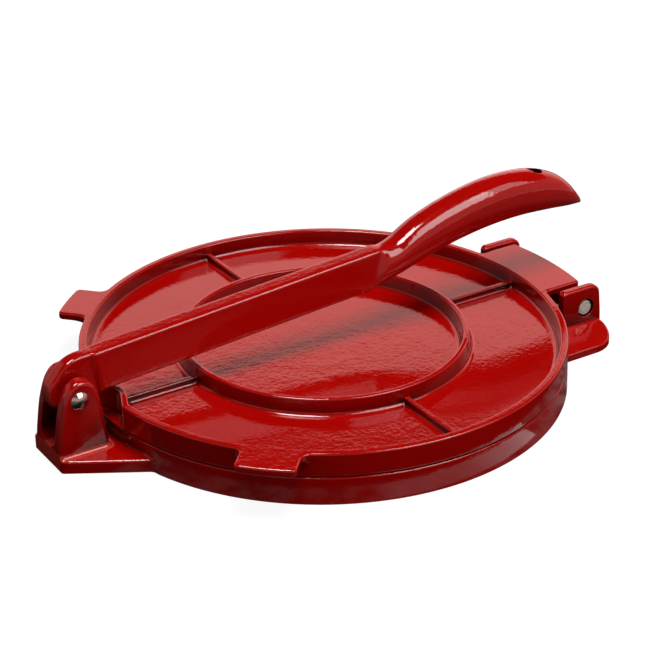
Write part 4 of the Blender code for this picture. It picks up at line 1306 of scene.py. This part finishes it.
@dataclass
class LeverCasting:
    """Lever: root in the clevis, drafted arm and a swelling handle with a hang hole."""

    top_half: float = 5.0
    low_half: float = 6.5
    edge: float = 1.9
    hole_y: float = 138.5
    hole: float = 4.5
    # The handle's section: the power of its curve, and where it is widest as a share of its height
    power: float = 2.25
    widest: float = 0.46
    # Upper and lower line of the root's side view as (y top, z top, y low, z low, half top, half low)
    root: tuple[tuple[float, float, float, float, float, float], ...] = (
        (-161.3, 33.0, -160.9, 31.9, 3.6, 4.2),
        (-161.8, 34.6, -160.0, 31.4, 4.3, 5.3),
        (-161.9, 37.0, -158.4, 31.0, 4.5, 5.7),
        (-161.7, 39.6, -156.6, 30.8, 4.4, 5.9),
        (-160.9, 43.0, -154.2, 30.6, 4.2, 5.9),
        (-158.5, 45.2, -151.8, 30.4, 4.1, 5.8),
        (-156.3, 47.6, -149.4, 30.3, 4.0, 5.6),
        (-154.0, 50.5, -146.9, 30.2, 3.9, 5.5),
        (-151.0, 52.7, -144.3, 30.3, 3.9, 5.4),
        (-148.0, 54.0, -142.0, 30.6, 3.9, 5.3),
        (-144.5, 54.8, -139.6, 31.1, 3.9, 5.2),
        (-141.0, 55.0, -137.6, 31.7, 3.9, 5.2),
        (-138.6, 55.1, -136.2, 32.1, 3.9, 5.2),
        (-137.6, 55.15, -135.5, 32.4, 4.05, 5.35),
        (-136.9, 55.15, -134.9, 32.6, 4.5, 5.9),
        (-136.2, 55.15, -134.3, 32.8, 4.9, 6.35),
    )
    crest: tuple[Pair, ...] = (
        (-135.0, 55.2), (-100.0, 57.8), (0.0, 65.2), (32.0, 67.55), (37.0, 68.0), (41.0, 68.8), (45.0, 70.2),
        (50.0, 73.2), (57.0, 77.1), (65.3, 80.5), (78.3, 84.7), (91.5, 87.8), (104.8, 89.8), (118.3, 90.4),
        (132.1, 89.3), (142.5, 86.8), (153.3, 82.0), (160.3, 76.4), (165.8, 69.9), (168.6, 66.2),
        (170.0, 63.9), (170.5, 62.6),
    )
    belly: tuple[Pair, ...] = (
        (-130.5, 33.7), (-100.0, 36.0), (0.0, 43.5), (22.0, 45.1), (32.0, 46.3), (45.0, 49.5), (65.9, 55.9),
        (85.0, 60.3), (105.0, 63.2), (125.1, 64.2), (143.2, 63.4), (159.2, 62.1), (166.0, 61.8),
        (169.6, 61.5), (170.5, 61.8),
    )
    girth: tuple[Pair, ...] = (
        (26.0, 5.6), (29.0, 5.8), (30.5, 6.6), (32.0, 7.6), (34.0, 8.4), (38.0, 9.1), (44.0, 9.6),
        (52.0, 10.0), (66.0, 10.5), (84.0, 10.9), (104.0, 11.2), (125.0, 11.2), (139.0, 10.9),
        (150.0, 10.3), (158.0, 9.4), (163.6, 7.9), (167.0, 6.3), (169.0, 4.8), (170.0, 3.3), (170.5, 1.9),
    )

    def arm_section(self, tall: float, top: float, low: float) -> list[Pair]:
        """Rounded drafted section as (across, up from the bottom), from its right side round."""
        r = min(self.edge, tall * 0.45, top * 0.8)
        arcs = fillet_path([(top, tall, r), (-top, tall, r), (-low, 0.0, r), (low, 0.0, r)], 6, closed=True)
        blocks = [arcs[i * 7:(i + 1) * 7] for i in range(4)]
        made: list[Pair] = []
        for index, block in enumerate(blocks):
            made += block
            ahead = blocks[(index + 1) % 4][0]
            steps = 3 if index % 2 == 0 else 8
            made += [mix_point(block[-1], ahead, step / (steps + 1)) for step in range(1, steps + 1)]
        return made

    def round_section(self, count: int, tall: float, half: float) -> list[Pair]:
        """Convex handle section with the same count of points, from its upper right round."""
        middle = tall * self.widest
        made = []
        # The arm's first point is the start of its upper right corner
        for index in range(count):
            turn = math.radians(52) + 2 * math.pi * index / count
            x = math.copysign(abs(math.cos(turn)) ** (2 / self.power), math.cos(turn)) * half
            z = math.copysign(abs(math.sin(turn)) ** (2 / self.power), math.sin(turn))
            made.append((x, middle + z * (tall - middle if z > 0 else middle)))
        return made

    def section(self, top: Pair, low: Pair, flat: Pair, half: float = 0.0,
                morph: float = 0.0) -> list[Triple]:
        """One ring of the lever between its upper and its lower line.

        Args:
            top: its upper point as (y, z).
            low: its lower point as (y, z).
            flat: half widths of the arm's section, at its top and at its bottom.
            half: half of the handle's width.
            morph: 0 for the arm's flat sides, 1 for the handle's round ones.

        Returns:
            The ring.
        """
        tall = math.dist(top, low)
        shape = self.arm_section(tall, *flat)
        if morph > 0:
            full = self.round_section(len(shape), tall, half)
            shape = [mix_point(p, q, morph) for p, q in zip(shape, full)]
        return [(across, *mix_point(low, top, up / tall)) for across, up in shape]

    def build(self) -> Thing:
        """Loft the lever from its root to the handle's tip, and drill the hang hole."""
        rings = [self.section((y1, z1), (y2, z2), flat) for y1, z1, y2, z2, *flat in self.root]
        places = [-135.2, -134.2, -132.5, -130.0, -127.0, -122.0, -110.0, -90.0, -60.0, -30.0]
        places += [0.0, 15.0, 22.0]
        places += [26.0 + 0.8 * step for step in range(30)] + [50.0 + 2.0 * step for step in range(52)]
        places += [154.0 + step for step in range(15)]
        places += [168.6, 169.1, 169.5, 169.8, 170.1, 170.3, 170.5]
        for y in places:
            low_y = y + 4.0 * smooth((-126.0 - y) / 9.0)
            # The swelling starts further forward on the underside than on top
            lean = 7.0 * smooth((y - 20.0) / 8.0) * (1 - smooth((y - 40.0) / 30.0))
            low_y -= lean
            top = read_row(self.crest, y)[0]
            low = read_row(self.belly, low_y)[0]
            half = read_row(self.girth, y - lean / 2)[0]
            morph = smooth((y - lean / 2 - 28.5) / 7.0)
            rings.append(self.section((y, top), (low_y, low), (self.top_half, self.low_half), half, morph))
        made = loft("lever_casting", rings)
        circle = around((0.0, self.hole_y), self.hole, 48)
        cut(made, loft("hang_hole", [[(x, y, z) for x, y in circle] for z in (50.0, 100.0)]))
        smooth_shade(made, 60)
        LOG.info("lever: %d faces", len(made.data.polygons))
        return made


@dataclass
class Fastener:
    """Turned fastener along X: the domed pivot post or a slotted screw."""

    name: str
    place: Pair
    profile: tuple[Pair, ...]
    hand: Side
    slot: float = 0.0
    slot_depth: float = 1.0
    slot_turn: float = 28.0

    def build(self) -> Thing:
        """Turn the profile about X and cut the driver slot."""
        made = loft(self.name, [[(self.hand.value * x, y, z) for y, z in around(self.place, r, 64)]
                                for x, r in self.profile])
        if self.slot > 0:
            face = max(x for x, _ in self.profile)
            far = max(r for _, r in self.profile) + 1.0
            half = self.slot / 2
            tilt = math.radians(self.slot_turn)
            box = [(self.place[0] + a * math.cos(tilt) - b * math.sin(tilt),
                    self.place[1] + a * math.sin(tilt) + b * math.cos(tilt))
                   for a, b in ((far, half), (-far, half), (-far, -half), (far, -half))]
            ends = (face - self.slot_depth, face + 1.0)
            cut(made, loft("driver_slot", [[(self.hand.value * x, y, z) for y, z in box] for x in ends]))
        smooth_shade(made, 40)
        return made


def dress(thing: Thing, material: Paint, body: str, slot: str, *nodes: str) -> None:
    """Give a piece its finish, set it on its body and let it stand for its CAD nodes."""
    thing.data.materials.clear()
    thing.data.materials.append(material)
    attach(thing, body)
    if nodes:
        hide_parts(*nodes)
    LOG.info("%s: %d vertices on %s", thing.name, len(thing.data.vertices), body)


def arc_points(centre: Pair, radius: float, start: float, end: float, steps: int) -> list[Pair]:
    """Points on an arc, angles in degrees."""
    turns = [math.radians(lerp(start, end, step / steps)) for step in range(steps + 1)]
    return [(centre[0] + radius * math.cos(t), centre[1] + radius * math.sin(t)) for t in turns]


def main() -> None:
    """Build the press and its studio."""
    logging.basicConfig(level=logging.INFO, format="%(message)s")
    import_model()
    bpy.context.scene.view_settings.view_transform = "Standard"
    studio = Studio()
    studio.camera()
    studio.floor()
    studio.world()
    studio.drapes()
    studio.lights()

    form = PlateForm()
    upper = UpperPlate(form)
    red = EnamelFinish("glossy_red_enamel").build()
    dress(upper.build(), red, "lid", "plate_enamel", "upper_plate")
    dress(upper.knuckle(), red, "lid", "plate_enamel")
    dress(BaseCasting(form).build(), red, "base", "base_enamel", "base_casting")
    dress(LeverCasting().build(), red, "lever_arm", "lever_enamel", "lever")

    chrome = ChromeFinish("chromed_steel")
    dome = [(14.3 + x, r) for x, r in arc_points((-4.3, 0.0), 6.5, 0, 48, 12)]
    domed = ((dome[0][0], 0.05), *dome[1:], (14.0, 4.85), (14.0, 3.0), (-13.6, 3.0))
    post = Fastener("pivot_post_dome", PIVOT, domed, Side.RIGHT)
    dress(post.build(), chrome.build((14.0, *PIVOT)), "base", "post_chrome", "pivot_post")
    steel = ChromeFinish("turned_nickel_steel", tone="FFFBF2", roughness=0.5, metallic=0.6)
    head = ((16.45, 0.05), (16.45, 4.3), (16.3, 4.65), (15.95, 4.8), (14.45, 4.8), (14.45, 2.0), (2.0, 2.0))
    screw = Fastener("pivot_screw_head", PIVOT, head, Side.LEFT, 1.2)
    dress(screw.build(), steel.build((0.0, *PIVOT)), "base", "screw_steel", "pivot_screw")
    hinge_head = ((38.35, 0.05), (38.35, 3.7), (38.2, 4.1), (37.85, 4.25), (36.2, 4.25), (36.2, 2.5),
                  (18.3, 2.5))
    for hand in Side:
        name = f"hinge_screw_{hand.name.lower()}"
        piece = Fastener(f"{name}_head", HINGE, hinge_head, hand, 1.2)
        dress(piece.build(), steel.build((0.0, *HINGE)), "lid", "screw_steel", name)


if __name__ == "__main__":
    main()
